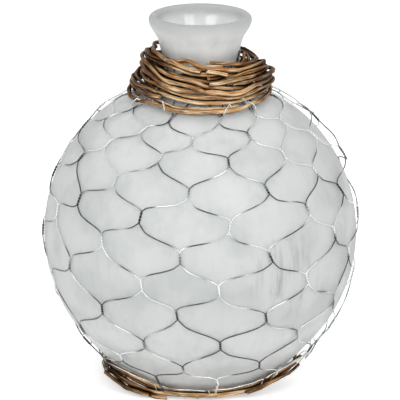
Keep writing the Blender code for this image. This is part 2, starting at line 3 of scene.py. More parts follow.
import bpy
import numpy as np
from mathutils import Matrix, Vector


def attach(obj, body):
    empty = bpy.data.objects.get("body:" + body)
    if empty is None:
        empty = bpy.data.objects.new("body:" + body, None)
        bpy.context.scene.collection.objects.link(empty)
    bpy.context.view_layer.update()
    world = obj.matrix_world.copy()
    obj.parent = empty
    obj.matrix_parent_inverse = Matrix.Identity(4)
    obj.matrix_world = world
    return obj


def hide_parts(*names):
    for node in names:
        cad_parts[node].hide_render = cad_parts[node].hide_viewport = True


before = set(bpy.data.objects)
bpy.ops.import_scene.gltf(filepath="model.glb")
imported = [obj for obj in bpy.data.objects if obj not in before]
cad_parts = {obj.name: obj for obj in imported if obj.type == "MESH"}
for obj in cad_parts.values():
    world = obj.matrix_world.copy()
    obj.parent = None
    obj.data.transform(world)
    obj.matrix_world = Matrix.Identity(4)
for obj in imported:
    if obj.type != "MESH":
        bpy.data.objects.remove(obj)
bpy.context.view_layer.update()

# Looks of a bottle vase of satin glass, sleeved in hexagonal wire netting and wound with willow.
# Lengths are metres, and MM turns millimetres into them; the willow is worked out in mm. Azimuth 0
# is the front (-Y) and grows to the right (+X). Reach is the length along the glass's outline,
# upwards from the ball's equator, and lift is the distance straight out from the glass. Knots of
# twigs and wires are read off the photograph and rounded.

MM = 0.001

# Glass, as constructed
BALL_RADIUS = 0.118
FLANK_LATITUDE = math.radians(42.0)
FLANK_FOOT_RADIUS = 0.058
HEEL_FILLET = 0.006
FOOT_LAND = 0.010
PUNT_DEPTH = 0.006
SHOULDER_LATITUDE = math.radians(70.0)
WAIST_RADIUS = 0.0272
WAIST_RISE = 0.010
THROAT_SPREAD = 0.004
THROAT_RISE = 0.020
LIP_SPREAD = 0.0073
LIP_RISE = 0.0162
LIP_CROWN = 0.0038
LIP_WIDTH = 0.0068
WALL = 0.004
BASE_WALL = 0.007
NECK_PULL = 1.1
FLANK_TOP_RADIUS = BALL_RADIUS * math.cos(FLANK_LATITUDE)
FLANK_HEIGHT = (FLANK_TOP_RADIUS - FLANK_FOOT_RADIUS) / math.tan(FLANK_LATITUDE)
BALL_HEIGHT = FLANK_HEIGHT + BALL_RADIUS * math.sin(FLANK_LATITUDE)
FOOT_OUTER_RADIUS = FLANK_FOOT_RADIUS - HEEL_FILLET * math.tan((math.pi / 2 - FLANK_LATITUDE) / 2)
WAIST_HEIGHT = BALL_HEIGHT + BALL_RADIUS + WAIST_RISE
THROAT_HEIGHT = WAIST_HEIGHT + THROAT_RISE
THROAT_RADIUS = WAIST_RADIUS + THROAT_SPREAD
LIP_HEIGHT = THROAT_HEIGHT + LIP_RISE
LIP_RADIUS = THROAT_RADIUS + LIP_SPREAD
OUTLINE_DETAIL = 4
GLASS_SEGMENTS = 192

# Netting, as constructed
NET_COLUMNS = 11
HALF_PITCH = math.pi / NET_COLUMNS
WIRE_COUNT = 2 * NET_COLUMNS
WIRE_RADIUS = 0.00045
EVEN_ROWS = 9
SQUEEZED_LATITUDES = (math.radians(-41.5), math.radians(-48.3))
LAST_ROW = EVEN_ROWS + len(SQUEEZED_LATITUDES)
FIRST_ROW_LATITUDE = math.radians(60.2)
ROW_STEP = math.radians(9.3)
ROW_GROWTH = math.radians(0.28)
COLUMN_START = math.radians(14.4)
ROW_DRIFT = math.radians(-0.7)
NET_LEAVES_LATITUDE = math.radians(-34.0)
NET_STAND_OFF = 0.15
REST_GAP = 0.0003
WIRE_LIFT = REST_GAP + WIRE_RADIUS

# Netting, as twisted and stretched by hand
TWIST_OFFSET = 1.04 * WIRE_RADIUS  # the two wires of a twist touch all along
TWIST_LIFT = WIRE_LIFT + TWIST_OFFSET
TWIST_TURNS = 2
STEPS_PER_TURN = 10
WIRE_SIDES = 8
TWIST_LENGTHS = (7.0, 6.5, 7.5, 8.0, 9.5, 9.5, 9.0, 8.5, 9.0, 7.5, 5.5)  # mm, row by row
# Row: column: how far the twist strays from the even lattice, across and up, and how far its
# lower end leans to the right, all in degrees.
STRAYS = {
    1: {-4: (-4, 2, -14), -2: (-2, -1, -10), 0: (0, -1, -25), 2: (-4, 0, 0), 4: (-1, 1, -19)},
    2: {-5: (0, 2, -35), -3: (1, 2, -24), -1: (-1, -1, -12),
        1: (-1, 0, 7), 3: (-5, 2, 13), 5: (-4, 0, -10)},
    3: {-6: (-4, 3, -4), -4: (1, 3, -18), -2: (1, 1, -12),
        0: (1, 0, -2), 2: (-2, 0, 2), 4: (-7, 2, 11)},
    4: {-5: (5, 5, -13), -3: (0, 1, -4), -1: (0, -1, -6),
        1: (0, -1, 16), 3: (-4, 1, 10), 5: (-5, 0, 20)},
    5: {-6: (-4, 3, -10), -4: (1, 2, -2), 0: (0, -2, -13), 2: (1, 0, 13), 4: (-7, 2, 31)},
    6: {-5: (5, 6, 8), -3: (1, 2, 11), -1: (-1, -1, 4),
        1: (-1, -2, 22), 3: (-2, 0, 7), 5: (-3, -1, 10)},
    7: {-6: (4, 6, -10), -4: (2, 2, -13), -2: (2, 0, 7),
        0: (-3, -1, 6), 2: (-1, -1, 22), 4: (-7, 2, 10)},
    8: {-5: (2, 5, 0), -3: (1, 0, -8), -1: (-1, 2, 7), 1: (0, -1, 15), 3: (3, -1, 20)},
    9: {-4: (-3, -1, -10), -2: (1, 0, -4), 0: (0, 1, 7), 2: (3, 1, 29), 4: (2, -3, 12)},
    10: {-3: (2, 1, -8), -1: (1, 0, 5), 1: (5, 0, 15), 3: (7, 0, 10)},
    11: {-2: (3, 0, 6), 0: (2, 0, 16), 2: (4, 0, 20), 4: (2, 0, 10)},
}
# Below the ball the netting hugs the flank on the left: the share of its stand-off that is missing
# there, and the azimuth and width of that place in degrees.
HUG_SHARE = 0.75
HUG_AZIMUTH = -85.0
HUG_WIDTH = 42.0
# Azimuth and latitude of the middle of a place where the netting springs off the glass, how wide
# that place is, in degrees, and how far the netting stands off there, in mm.
SPRUNG_PLACES = (
    (92, 47, 19, 5.0),
    (95, 25, 15, 3.2),
    (88, -32, 20, 3.5),
    (-88, 58, 12, 3.4),
    (170, 35, 24, 3.0),
    (-160, -5, 24, 2.5),
)
# The wire between two twists, as shares of the straight way and how far it hangs below that way,
# in parts of it: for a wire that runs down to the left and to the right.
WIRE_SHARES = (0.0, 0.07, 0.2, 0.45, 0.7, 0.9, 1.0)
LEFT_SAGS = (0.0, 0.022, 0.047, 0.020, -0.022, -0.038, 0.0)
RIGHT_SAGS = (0.0, 0.042, 0.087, 0.060, 0.012, -0.012, 0.0)
STEPS_PER_KNOT = 3
# The wires' upper ends stop low under the front of the collar. From the sides to the back they rise
# into view over it: how far, how unevenly, and from and over how much of |sin(azimuth / 2)|.
END_RISE = 0.0095
END_UNEVEN = 0.0015
END_SHOWS_FROM = 0.42
END_SHOWS_OVER = 0.12
END_STEPS = 26
END_DRIFT = 0.85  # of the way from a wire's lane on the neck to its first twist

# Tie wire round the netting on the neck
TIE_RISE = 0.004  # of its lower end over the waist
TIE_TURNS = 1.75
TIE_PITCH = 0.0015
TIE_START = math.radians(-75.0)
TIE_LIFT = WIRE_LIFT + 2.4 * WIRE_RADIUS  # over the netting's wires
TIE_STEPS = 140

# Colours, as sRGB hex
GLASS_CLEAR = "FBFCFB"
GLASS_CLOUD = "EAEDEC"
GLASS_THICK = "BFC2C1"
GLASS_SMEAR = "A2A6A6"
# Bright and dull zinc, set far apart: partly the zinc's own patches, partly painted glints and
# painted dark reflections.
ZINC_BRIGHT_AND_GLINT = "DDE0E0"
ZINC_DULL_AND_DARK_REFLECTION = "4A4E50"
BARK_PALE = "F0DAB8"
BARK_TAN = "C8904E"
BARK_BROWN = "8E5020"
BARK_OLIVE = "8C7038"
BARK_DARK = "4A2608"
# The near-black bark colour is painted shade between twigs and under the outer ones.
BARK_PAINTED_SHADE = "1E0D03"
CUT_WOOD = "D9BC8A"
PITH = "8A6238"
WHITE = "FFFFFF"

RUN_OFF = (-0.062, 0.098, -0.105)  # takes the middle of the etching bath's runs to the origin

# Settings of the nodes that carry a value to another range, held at its ends, and that mix two
# colours, inputs 6 and 7, by a share, input 0
EASED = {"interpolation_type": "SMOOTHSTEP"}
COLOURS = {"data_type": "RGBA"}


def linear(code):
    """An sRGB hex colour as linear RGBA."""
    values = [int(code[at : at + 2], 16) / 255 for at in (0, 2, 4)]
    return [v / 12.92 if v <= 0.04045 else ((v + 0.055) / 1.055) ** 2.4 for v in values] + [1.0]


def fill_in(tree, node, values):
    """Links or sets a node's inputs, given by name or number, or all in their order. A value is
    another node's socket, an sRGB hex colour or a constant."""
    for name, value in values.items() if isinstance(values, dict) else enumerate(values):
        if isinstance(value, bpy.types.NodeSocket):
            tree.links.new(value, node.inputs[name])
        else:
            node.inputs[name].default_value = linear(value) if isinstance(value, str) else value


def add_node(tree, kind, settings, values=()):
    """The outputs of a new node with its settings and links."""
    made = tree.nodes.new(f"ShaderNode{kind}")
    for name, value in settings.items():
        setattr(made, name, value)
    fill_in(tree, made, values)
    return made.outputs


def new_material(name):
    """An empty node material, its tree and its shader."""
    material = bpy.data.materials.new(name)
    material.use_nodes = True
    return material, material.node_tree, material.node_tree.nodes["Principled BSDF"]


def satin_glass(name, etched):
    """Blown soda-lime glass. Outside it is acid-etched to a satin, which scatters what lies behind
    it; inside it is as blown, smooth enough to mirror a window."""
    material, tree, shader = new_material(name)
    place = add_node(tree, "TexCoord", {})["Object"]
    # Clouds of unlike etching are 20 to 40 mm across.
    pattern = {"Vector": place, "Scale": 34.0, "Detail": 3.0, "Roughness": 0.55}
    clouds = add_node(tree, "TexNoise", {}, pattern)["Fac"]
    # Runs of the etching bath: long upright streaks, 2 to 4 mm wide.
    upright = add_node(tree, "Mapping", {}, {"Vector": place, "Scale": (1.0, 1.0, 0.09)})[0]
    pattern = {"Vector": upright, "Scale": 210.0, "Detail": 4.0, "Roughness": 0.65}
    runs = add_node(tree, "TexNoise", {}, pattern)["Fac"]
    runs = add_node(tree, "MapRange", EASED, (runs, 0.45, 0.78))[0]
    # They show most on the right below the middle, where the bath ran off.
    centred = add_node(tree, "Mapping", {}, {"Vector": place, "Location": RUN_OFF})[0]
    away = add_node(tree, "VectorMath", {"operation": "LENGTH"}, (centred,))["Value"]
    near = add_node(tree, "MapRange", EASED, (away, 0.010, 0.040, 1.0, 0.16))[0]
    streaks = add_node(tree, "Math", {"operation": "MULTIPLY"}, (runs, near))[0]
    milky = add_node(tree, "MapRange", EASED, (clouds, 0.38, 0.68))[0]
    veil = add_node(tree, "Mix", COLOURS, {0: milky, 6: GLASS_CLEAR, 7: GLASS_CLOUD})[2]
    wall = add_node(tree, "Mix", COLOURS, {0: streaks, 6: veil, 7: GLASS_SMEAR})[2]
    # The rounded lip is the thickest glass and looks greyer than the wall.
    height = add_node(tree, "SeparateXYZ", {}, (place,))["Z"]
    thick = add_node(tree, "MapRange", EASED, (height, 0.268, 0.278, 0.0, 0.8))[0]
    # Less light goes through the glass on the neck and towards the foot, so it renders paler there:
    # this stands in for light where the collar and the ring shade the glass.
    above = add_node(tree, "Math", {"operation": "SUBTRACT"}, (height, 0.130))[0]
    away = add_node(tree, "Math", {"operation": "ABSOLUTE"}, (above,))[0]
    through = add_node(tree, "MapRange", EASED, (away, 0.030, 0.115, 0.61, 0.32))[0]
    looks = {
        "Base Color": add_node(tree, "Mix", COLOURS, {0: thick, 6: wall, 7: GLASS_THICK})[2],
        "IOR": 1.5,
        "Roughness": 0.04,
        "Transmission Weight": through,
    }
    if etched:
        looks["Roughness"] = add_node(tree, "MapRange", EASED, (clouds, 0.3, 0.7, 0.50, 0.60))[0]
        # Etching grit is far too fine to see, so this grain is drawn at 0.5 mm to show at all.
        pattern = {"Vector": place, "Scale": 2000.0, "Detail": 2.0, "Roughness": 0.55}
        grain = add_node(tree, "TexNoise", {}, pattern)["Fac"]
        relief = {"Height": grain, "Strength": 0.08, "Distance": 0.0001}
        looks["Normal"] = add_node(tree, "Bump", {}, relief)[0]
    fill_in(tree, shader, looks)
    return material


def galvanised_wire(name, dull_from, bright_from):
    """Drawn mild-steel wire, dipped in zinc: patches of bright zinc among dull grey ones, partly
    the zinc's own and partly painted glints and painted dark reflections.
    """
    material, tree, shader = new_material(name)
    place = add_node(tree, "TexCoord", {})["Object"]
    # Zinc patches are 10 to 30 mm long, and drag marks 0.3 mm.
    pattern = {"Vector": place, "Scale": 40.0, "Detail": 1.0, "Roughness": 0.5}
    patches = add_node(tree, "TexNoise", {}, pattern)["Fac"]
    pattern = {"Vector": place, "Scale": 3200.0, "Detail": 2.0, "Roughness": 0.55}
    marks = add_node(tree, "TexNoise", {}, pattern)["Fac"]
    # Painted glints and painted dark reflections, partly the zinc's own patches.
    bright_and_glint = add_node(tree, "MapRange", EASED, (patches, dull_from, bright_from))[0]
    looks = {
        "Base Color": add_node(tree, "Mix", COLOURS, {0: bright_and_glint, 6: ZINC_DULL_AND_DARK_REFLECTION, 7: ZINC_BRIGHT_AND_GLINT})[2],
        "Roughness": add_node(tree, "MapRange", EASED, (marks, 0.3, 0.7, 0.16, 0.30))[0],
        "Metallic": 1.0,
    }
    fill_in(tree, shader, looks)
    return material


def willow_bark():
    """Unpeeled dried willow: olive to red-brown bark, drawn into ridges along the twig, with paler
    rubbed streaks. It is painted near black, as painted shade, between twigs, under the ones
    outside them and round the sides. The pattern reads the twig laid straight."""
    material, tree, shader = new_material("dried_willow_bark")
    straight = add_node(tree, "Attribute", {"attribute_name": "straight"})["Vector"]
    tone, cast, painted_shade = (
        add_node(tree, "Attribute", {"attribute_name": name})["Fac"]
        for name in ("tone", "cast", "painted_shade")
    )
    # Bark ridges are 0.4 mm across, too fine to show, so they are drawn 0.8 mm across and 10 to
    # 16 mm long; stains are 2 mm wide and 10 to 20 mm long.
    patterns = []
    for drawn_out, cycles, detail in ((0.09, 800.0, 4.0), (0.16, 400.0, 3.0)):
        values = {"Vector": straight, "Scale": (drawn_out, 1.0, 1.0)}
        along = add_node(tree, "Mapping", {}, values)[0]
        values = {"Vector": along, "Scale": cycles, "Detail": detail, "Roughness": 0.6}
        patterns.append(add_node(tree, "TexNoise", {}, values)["Fac"])
    ridges, stains = patterns
    warm = add_node(tree, "Mix", COLOURS, {0: tone, 6: BARK_BROWN, 7: BARK_TAN})[2]
    cool = add_node(tree, "Mix", COLOURS, {0: tone, 6: BARK_DARK, 7: BARK_OLIVE})[2]
    skin = add_node(tree, "Mix", COLOURS, {0: cast, 6: cool, 7: warm})[2]
    rubbed = add_node(tree, "Mix", COLOURS, {0: tone, 6: BARK_TAN, 7: BARK_PALE})[2]
    streaks = add_node(tree, "MapRange", EASED, (ridges, 0.42, 0.62))[0]
    streaked = add_node(tree, "Mix", COLOURS, {0: streaks, 6: skin, 7: rubbed})[2]
    marks = add_node(tree, "MapRange", EASED, (stains, 0.52, 0.68, 0.0, 0.8))[0]
    stained = add_node(tree, "Mix", COLOURS, {0: marks, 6: streaked, 7: BARK_DARK})[2]
    # Painted shade: the bark goes near black between twigs, under outer ones and round the sides.
    shaded = add_node(tree, "MapRange", EASED, (painted_shade, 0.05, 0.80, 0.0, 0.97))[0]
    relief = {"Height": ridges, "Strength": 0.7, "Distance": 0.0004}
    looks = {
        "Base Color": add_node(tree, "Mix", COLOURS, {0: shaded, 6: stained, 7: BARK_PAINTED_SHADE})[2],
        "Roughness": add_node(tree, "MapRange", EASED, (ridges, 0.3, 0.7, 0.62, 0.42))[0],
        # The painted shade takes the shine off too, so that it stays dark.
        "Specular IOR Level": add_node(tree, "MapRange", EASED, (painted_shade, 0.0, 0.7, 0.4, 0.06))[0],
        "Normal": add_node(tree, "Bump", {}, relief)[0],
    }
    fill_in(tree, shader, looks)
    return material


def cut_willow():
    """Willow cut across with secateurs: pale wood, browner towards the pith."""
    material, tree, shader = new_material("cut_willow_wood")
    straight = add_node(tree, "Attribute", {"attribute_name": "straight"})["Vector"]
    across = add_node(tree, "Mapping", {}, {"Vector": straight, "Scale": (0.0, 1.0, 1.0)})[0]
    out = add_node(tree, "VectorMath", {"operation": "LENGTH"}, (across,))["Value"]
    rings = add_node(tree, "MapRange", EASED, (out, 0.0003, 0.0010))[0]
    wood = add_node(tree, "Mix", COLOURS, {0: rings, 6: PITH, 7: CUT_WOOD})[2]
    fill_in(tree, shader, {"Base Color": wood, "Roughness": 0.75})
    return material


def unit(vectors):
    """Vectors, each divided by its length."""
    return vectors / np.linalg.norm(vectors, axis=1)[:, None]


def way_along(line):
    """The way along a line of points to each of them."""
    return np.concatenate(([0.0], np.cumsum(np.linalg.norm(np.diff(line, axis=0), axis=1))))


def full_turn(count):
    """Angles of a full turn in even steps."""
    return np.linspace(0.0, 2 * math.pi, count, endpoint=False)


def hermite(t, start, start_pull, end, end_pull):
    """Hermite curve: at share t it is (2t3-3t2+1) start + (t3-2t2+t) pull + (3t2-2t3) end +
    (t3-t2) end pull."""
    return (
        (2 * t**3 - 3 * t**2 + 1) * start
        + (t**3 - 2 * t**2 + t) * start_pull
        + (3 * t**2 - 2 * t**3) * end
        + (t**3 - t**2) * end_pull
    )


def cubic(start, start_pull, end, end_pull, count):
    """Points of a Hermite curve in even shares, without its first one."""
    t = np.linspace(0.0, 1.0, count + 1)[1:, None]
    return hermite(t, *map(np.asarray, (start, start_pull, end, end_pull)))


def arc(centre, radii, start, end, count):
    """Ellipse arc: centre + (a cos u, b sin u), u from start to end, without its first point."""
    angle = np.linspace(start, end, count + 1)[1:]
    across, up = radii[0] * np.cos(angle), radii[1] * np.sin(angle)
    return np.column_stack((centre[0] + across, centre[1] + up))


def ball_point(radius, latitude):
    """Radius and height of a point of the ball, or of its inner wall."""
    return radius * math.cos(latitude), BALL_HEIGHT + radius * math.sin(latitude)


def outer_line(detail):
    """The glass's outside from its foot to the lip's widest place: an arc for the heel, a straight
    flank, the ball's arc, and Hermite curves up the neck and out to the lip."""
    shoulder = ball_point(BALL_RADIUS, SHOULDER_LATITUDE)
    waist = (WAIST_RADIUS, WAIST_HEIGHT)
    throat = (THROAT_RADIUS, THROAT_HEIGHT)
    lip = (LIP_RADIUS, LIP_HEIGHT)
    pull = NECK_PULL * math.dist(shoulder, waist)
    leave = (-pull * math.sin(SHOULDER_LATITUDE), pull * math.cos(SHOULDER_LATITUDE))
    heel_centre = (FOOT_OUTER_RADIUS, HEEL_FILLET)
    heel_radii = (HEEL_FILLET, HEEL_FILLET)
    heel = arc(heel_centre, heel_radii, -math.pi / 2, -FLANK_LATITUDE, 2 * detail)
    share = np.linspace(0.0, 1.0, 2 * detail + 1)[1:, None]
    flank = heel[-1] + share * (np.array((FLANK_TOP_RADIUS, FLANK_HEIGHT)) - heel[-1])
    ball_radii = (BALL_RADIUS, BALL_RADIUS)
    ball = arc((0.0, BALL_HEIGHT), ball_radii, -FLANK_LATITUDE, SHOULDER_LATITUDE, 13 * detail)
    neck = cubic(shoulder, leave, waist, (0.0, pull), 4 * detail)
    throat_line = cubic(waist, (0.0, THROAT_RISE), throat, (THROAT_SPREAD, THROAT_RISE), 2 * detail)
    lip_line = cubic(throat, (THROAT_SPREAD, THROAT_RISE), lip, (0.0, LIP_RISE), 3 * detail)
    return np.vstack(([(FOOT_OUTER_RADIUS, 0.0)], heel, flank, ball, neck, throat_line, lip_line))


def inner_line(detail):
    """The rounded lip and the inside, down to the bottom's middle, of the same kinds of curve."""
    inner_ball = BALL_RADIUS - WALL
    ball_radii = (inner_ball, inner_ball)
    lip = (LIP_RADIUS - LIP_WIDTH, LIP_HEIGHT)
    throat = (THROAT_RADIUS - WALL, THROAT_HEIGHT)
    waist = (WAIST_RADIUS - WALL, WAIST_HEIGHT)
    shoulder = ball_point(inner_ball, SHOULDER_LATITUDE)
    heel = ball_point(inner_ball, -FLANK_LATITUDE)
    bottom = (0.0, PUNT_DEPTH + BASE_WALL)
    flare = (-THROAT_SPREAD, -THROAT_RISE)
    pull = NECK_PULL * math.dist(shoulder, waist)
    arrive = (pull * math.sin(SHOULDER_LATITUDE), -pull * math.cos(SHOULDER_LATITUDE))
    sink = 0.7 * heel[0]
    leave = (-sink * math.sin(FLANK_LATITUDE), -sink * math.cos(FLANK_LATITUDE))
    lip_centre = (LIP_RADIUS - LIP_WIDTH / 2, LIP_HEIGHT)
    return np.vstack(
        (
            arc(lip_centre, (LIP_WIDTH / 2, LIP_CROWN), 0.0, math.pi, 5 * detail),
            cubic(lip, (0.0, -LIP_RISE), throat, flare, 3 * detail),
            cubic(throat, flare, waist, (0.0, -THROAT_RISE), 2 * detail),
            cubic(waist, (0.0, -pull), shoulder, arrive, 4 * detail),
            arc((0.0, BALL_HEIGHT), ball_radii, SHOULDER_LATITUDE, -FLANK_LATITUDE, 13 * detail),
            cubic(heel, leave, bottom, (-sink, 0.0), 5 * detail),
        )
    )


def punt_line(detail):
    """The foot's underside, a low dome from the middle out to the flat ring: one Hermite curve."""
    middle = (0.0, PUNT_DEPTH)
    edge = (FOOT_OUTER_RADIUS - FOOT_LAND, 0.0)
    pull = 0.9 * edge[0]
    arrive = (0.9 * pull, -2.0 * PUNT_DEPTH)
    return np.vstack(([middle], cubic(middle, (pull, 0.0), edge, arrive, 4 * detail)))


TRACK = outer_line(40)
TRACK_REACH = way_along(TRACK)
TRACK_REACH -= np.interp(BALL_HEIGHT, TRACK[:, 1], TRACK_REACH)
TRACK_TANGENT = unit(np.gradient(TRACK, TRACK_REACH, axis=0))


def beside_glass(reach, lift):
    """Radius and height at a reach and a lift: the outline's point plus lift times its normal."""
    radius = np.interp(reach, TRACK_REACH, TRACK[:, 0])
    height = np.interp(reach, TRACK_REACH, TRACK[:, 1])
    along_radius = np.interp(reach, TRACK_REACH, TRACK_TANGENT[:, 0])
    along_height = np.interp(reach, TRACK_REACH, TRACK_TANGENT[:, 1])
    return radius + lift * along_height, height - lift * along_radius


def reach_at_height(height, lift=0.0):
    """Reach at which a line at this lift passes the given height."""
    return np.interp(height, beside_glass(TRACK_REACH, lift)[1], TRACK_REACH)


def place(azimuth, radius, height):
    """Points in space: (r sin a, -r cos a, h)."""
    across, back = radius * np.sin(azimuth), -radius * np.cos(azimuth)
    return np.stack((across, back, height + 0 * azimuth), axis=-1)


def turned_from(middle, azimuth):
    """Degrees by which an azimuth lies to the right of a middle one, from -180 to 180."""
    return (azimuth - middle + 180.0) % 360.0 - 180.0


def smooth(share):
    """Ease in and out: 3s2 - 2s3."""
    share = np.clip(share, 0.0, 1.0)
    return share * share * (3 - 2 * share)


def finish_piece(name, vertices, faces, materials, nodes=(), sharp=None, flags=None):
    """A mesh with these faces as a piece of the vase that rides on its body. Flags say which of
    the materials each face has."""
    mesh = bpy.data.meshes.new(name)
    mesh.from_pydata(vertices.reshape(-1, 3).tolist(), [], faces)
    for material in materials:
        mesh.materials.append(material)
    if flags is not None:
        mesh.polygons.foreach_set("material_index", flags)
    mesh.update()
    mesh.shade_smooth()
    if sharp is not None:
        mesh.set_sharp_from_angle(angle=sharp)
    piece = bpy.data.objects.new(name, mesh)
    bpy.context.collection.objects.link(piece)
    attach(piece, "root")
    if nodes:
        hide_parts(*nodes)
    return piece


def grid_faces(rings, around):
    """Quads between closed rings of points, ring after ring, facing out of a right-handed turn."""
    ring, step = np.meshgrid(np.arange(rings - 1), np.arange(around), indexing="ij")
    here = ring * around + step
    beside = ring * around + (step + 1) % around
    return np.stack((here, beside, beside + around, here + around), axis=-1).reshape(-1, 4)


def make_glass(etched, plain):
    """The glass turned about Z: (r cos t, r sin t, h) for every point (r, h) of its closed outline.
    The outline's two ends lie on the axis, and each is one point that a fan of triangles closes."""
    outside = np.vstack((punt_line(OUTLINE_DETAIL), outer_line(OUTLINE_DETAIL)[1:]))
    inside = inner_line(OUTLINE_DETAIL)
    outline = np.vstack((outside, inside))
    rings = outline[1:-1]
    turn = full_turn(GLASS_SEGMENTS)
    across, back = rings[:, :1] * np.cos(turn), rings[:, :1] * np.sin(turn)
    height = np.repeat(rings[:, 1:], GLASS_SEGMENTS, axis=1)
    wall = np.stack((across, back, height), axis=-1).reshape(-1, 3)
    ends = np.array(((0.0, 0.0, outline[0, 1]), (0.0, 0.0, outline[-1, 1])))
    vertices = np.vstack((wall, ends))
    quads = grid_faces(len(rings), GLASS_SEGMENTS)
    step = np.arange(GLASS_SEGMENTS)
    following = (step + 1) % GLASS_SEGMENTS
    last = (len(rings) - 1) * GLASS_SEGMENTS
    under = np.column_stack((following, step, np.full(GLASS_SEGMENTS, len(wall))))
    over = np.column_stack((last + step, last + following, np.full(GLASS_SEGMENTS, len(wall) + 1)))
    # The inside starts past the lip's arc, which has five steps for each of the detail.
    inner_from = (len(outside) - 1 + 5 * OUTLINE_DETAIL) * GLASS_SEGMENTS
    flags = np.zeros(len(quads) + 2 * GLASS_SEGMENTS, np.int32)
    flags[inner_from : len(quads)] = 1
    flags[len(quads) + GLASS_SEGMENTS :] = 1
    faces = quads.tolist() + under.tolist() + over.tolist()
    finish_piece(
        "glass_vase_body", vertices, faces, (etched, plain), ("glass_vase",),
        flags=flags,
    )


def carried_frames(path):
    """Two unit directions across a path that turn with it and never about it. Any two across
    directions are taken first; then each is turned back by the running sum of the angles by which
    the frames turn about the path from point to point."""
    ahead = unit(np.diff(path, axis=0))
    tangent = unit(np.vstack((ahead[:1], ahead[:-1] + ahead[1:], ahead[-1:])))
    least = np.eye(3)[np.argmin(np.abs(tangent), axis=1)]
    side = unit(np.cross(tangent, least))
    # Each side is carried over to the next point by the smallest turn between the tangents.
    before, after = tangent[:-1], tangent[1:]
    axis = np.cross(before, after)
    cosine = np.sum(before * after, axis=1)[:, None]
    carried = side[:-1]
    carried = (
        carried * cosine
        + np.cross(axis, carried)
        + axis * np.sum(axis * carried, axis=1)[:, None] / (1 + cosine)
    )
    across = np.cross(after, side[1:])
    angle = np.arctan2(np.sum(carried * across, axis=1), np.sum(carried * side[1:], axis=1))
    turned = np.concatenate(([0.0], np.cumsum(angle)))[:, None]
    across = np.cross(tangent, side)
    first = np.cos(turned) * side + np.sin(turned) * across
    return tangent, first, np.cross(tangent, first)


def tube(path, radii, sides):
    """Vertices and faces of a round tube: path + r (cos u first + sin u second), with flat ends.
    The radius is one number or a grid of them, one for each vertex."""
    _, first, second = carried_frames(path)
    angle = full_turn(sides)[None, :, None]
    radii = np.broadcast_to(radii, (len(path), sides))[..., None]
    spokes = first[:, None] * np.cos(angle) + second[:, None] * np.sin(angle)
    vertices = path[:, None] + radii * spokes
    faces = grid_faces(len(path), sides).tolist()
    start = list(range(sides))[::-1]
    end = [(len(path) - 1) * sides + step for step in range(sides)]
    return vertices, faces + [start, end]


def make_wire(name, path, material, nodes=()):
    """A piece of wire along a path."""
    vertices, faces = tube(path, WIRE_RADIUS, WIRE_SIDES)
    finish_piece(
        name, vertices, faces, (material,), nodes, sharp=math.radians(60)
    )


# Netting


def row_latitude(row):
    """Latitude of a row of twists; row 1 is the highest."""
    if row > EVEN_ROWS:
        return SQUEEZED_LATITUDES[row - EVEN_ROWS - 1]
    below = row - 1
    return FIRST_ROW_LATITUDE - ROW_STEP * below - ROW_GROWTH * below * (below - 1)


def twist(row, column):
    """Azimuth, reach, lean and length of a twist: the even lattice and how far it strays."""
    spot = column if column <= NET_COLUMNS else column - WIRE_COUNT
    # Twists that the photograph doesn't show stray in waves round the vase.
    wave = math.sin(2 * math.pi * 7 * column / WIRE_COUNT + 1.9 * row)
    swell = math.sin(2 * math.pi * 5 * column / WIRE_COUNT + 2.3 * row)
    across, up, lean = STRAYS.get(row, {}).get(spot, (1.6 * wave, 0.8 * swell, 9 * wave))
    azimuth = COLUMN_START + column * HALF_PITCH + ROW_DRIFT * row + math.radians(across)
    reach = (row_latitude(row) + math.radians(up)) * BALL_RADIUS
    return azimuth, reach, math.radians(lean), TWIST_LENGTHS[row - 1] * MM


def net_lift(azimuth, reach):
    """How far the netting stands off: straight out below the ball's flank, less on the left, and in
    bumps that fall off as exp(-d2) around the sprung places."""
    azimuth, latitude = np.degrees(azimuth), np.degrees(reach / BALL_RADIUS)
    hugs = HUG_SHARE * np.exp(-((turned_from(HUG_AZIMUTH, azimuth) / HUG_WIDTH) ** 2))
    lift = (1 - hugs) * NET_STAND_OFF * np.maximum(0.0, NET_LEAVES_LATITUDE * BALL_RADIUS - reach)
    for middle, height, wide, stand_off in SPRUNG_PLACES:
        off = turned_from(middle, azimuth) * np.cos(np.radians(np.clip(latitude, -60.0, 75.0)))
        lift = lift + stand_off * MM * np.exp(-(off**2 + (latitude - height) ** 2) / wide**2)
    return lift


def twist_line(row, column, start_turn):
    """One wire's turns round a twist, from its top down: offset (cos u, sin u) across and out."""
    azimuth, reach, lean, length = twist(row, column)
    share = np.linspace(0.0, 1.0, TWIST_TURNS * STEPS_PER_TURN + 1)
    turn = start_turn + 2 * math.pi * TWIST_TURNS * share
    down = reach + length * (0.5 - share)
    radius, _ = beside_glass(down, 0.0)
    aside = length * (share - 0.5) * math.tan(lean) + TWIST_OFFSET * np.cos(turn)
    around = azimuth + aside / radius
    return around, down, TWIST_LIFT + TWIST_OFFSET * np.sin(turn)


def between(upper, lower, sags):
    """The wire between two twists, unrolled flat: a smooth curve through points that hang below
    the straight way between them by parts of its length. Its middle eases down onto the glass."""
    azimuth, reach = upper[0][-1], upper[1][-1]
    next_azimuth, next_reach = lower[0][0], lower[1][0]
    radius, _ = beside_glass((reach + next_reach) / 2, 0.0)
    start = np.array((azimuth * radius, reach))
    end = np.array((next_azimuth * radius, next_reach))
    span = np.linalg.norm(end - start)
    knots = start + np.outer(WIRE_SHARES, end - start)
    knots[:, 1] -= span * np.array(sags)
    flat = resample(knots, STEPS_PER_KNOT)[1:-1]
    share = np.linspace(0.0, 1.0, len(flat) + 2)[1:-1]
    ends = upper[2][-1] * (1 - share) + lower[2][0] * share
    lift = ends + (WIRE_LIFT - ends) * np.sin(math.pi * share) ** 2
    return flat[:, 0] / radius, flat[:, 1], lift


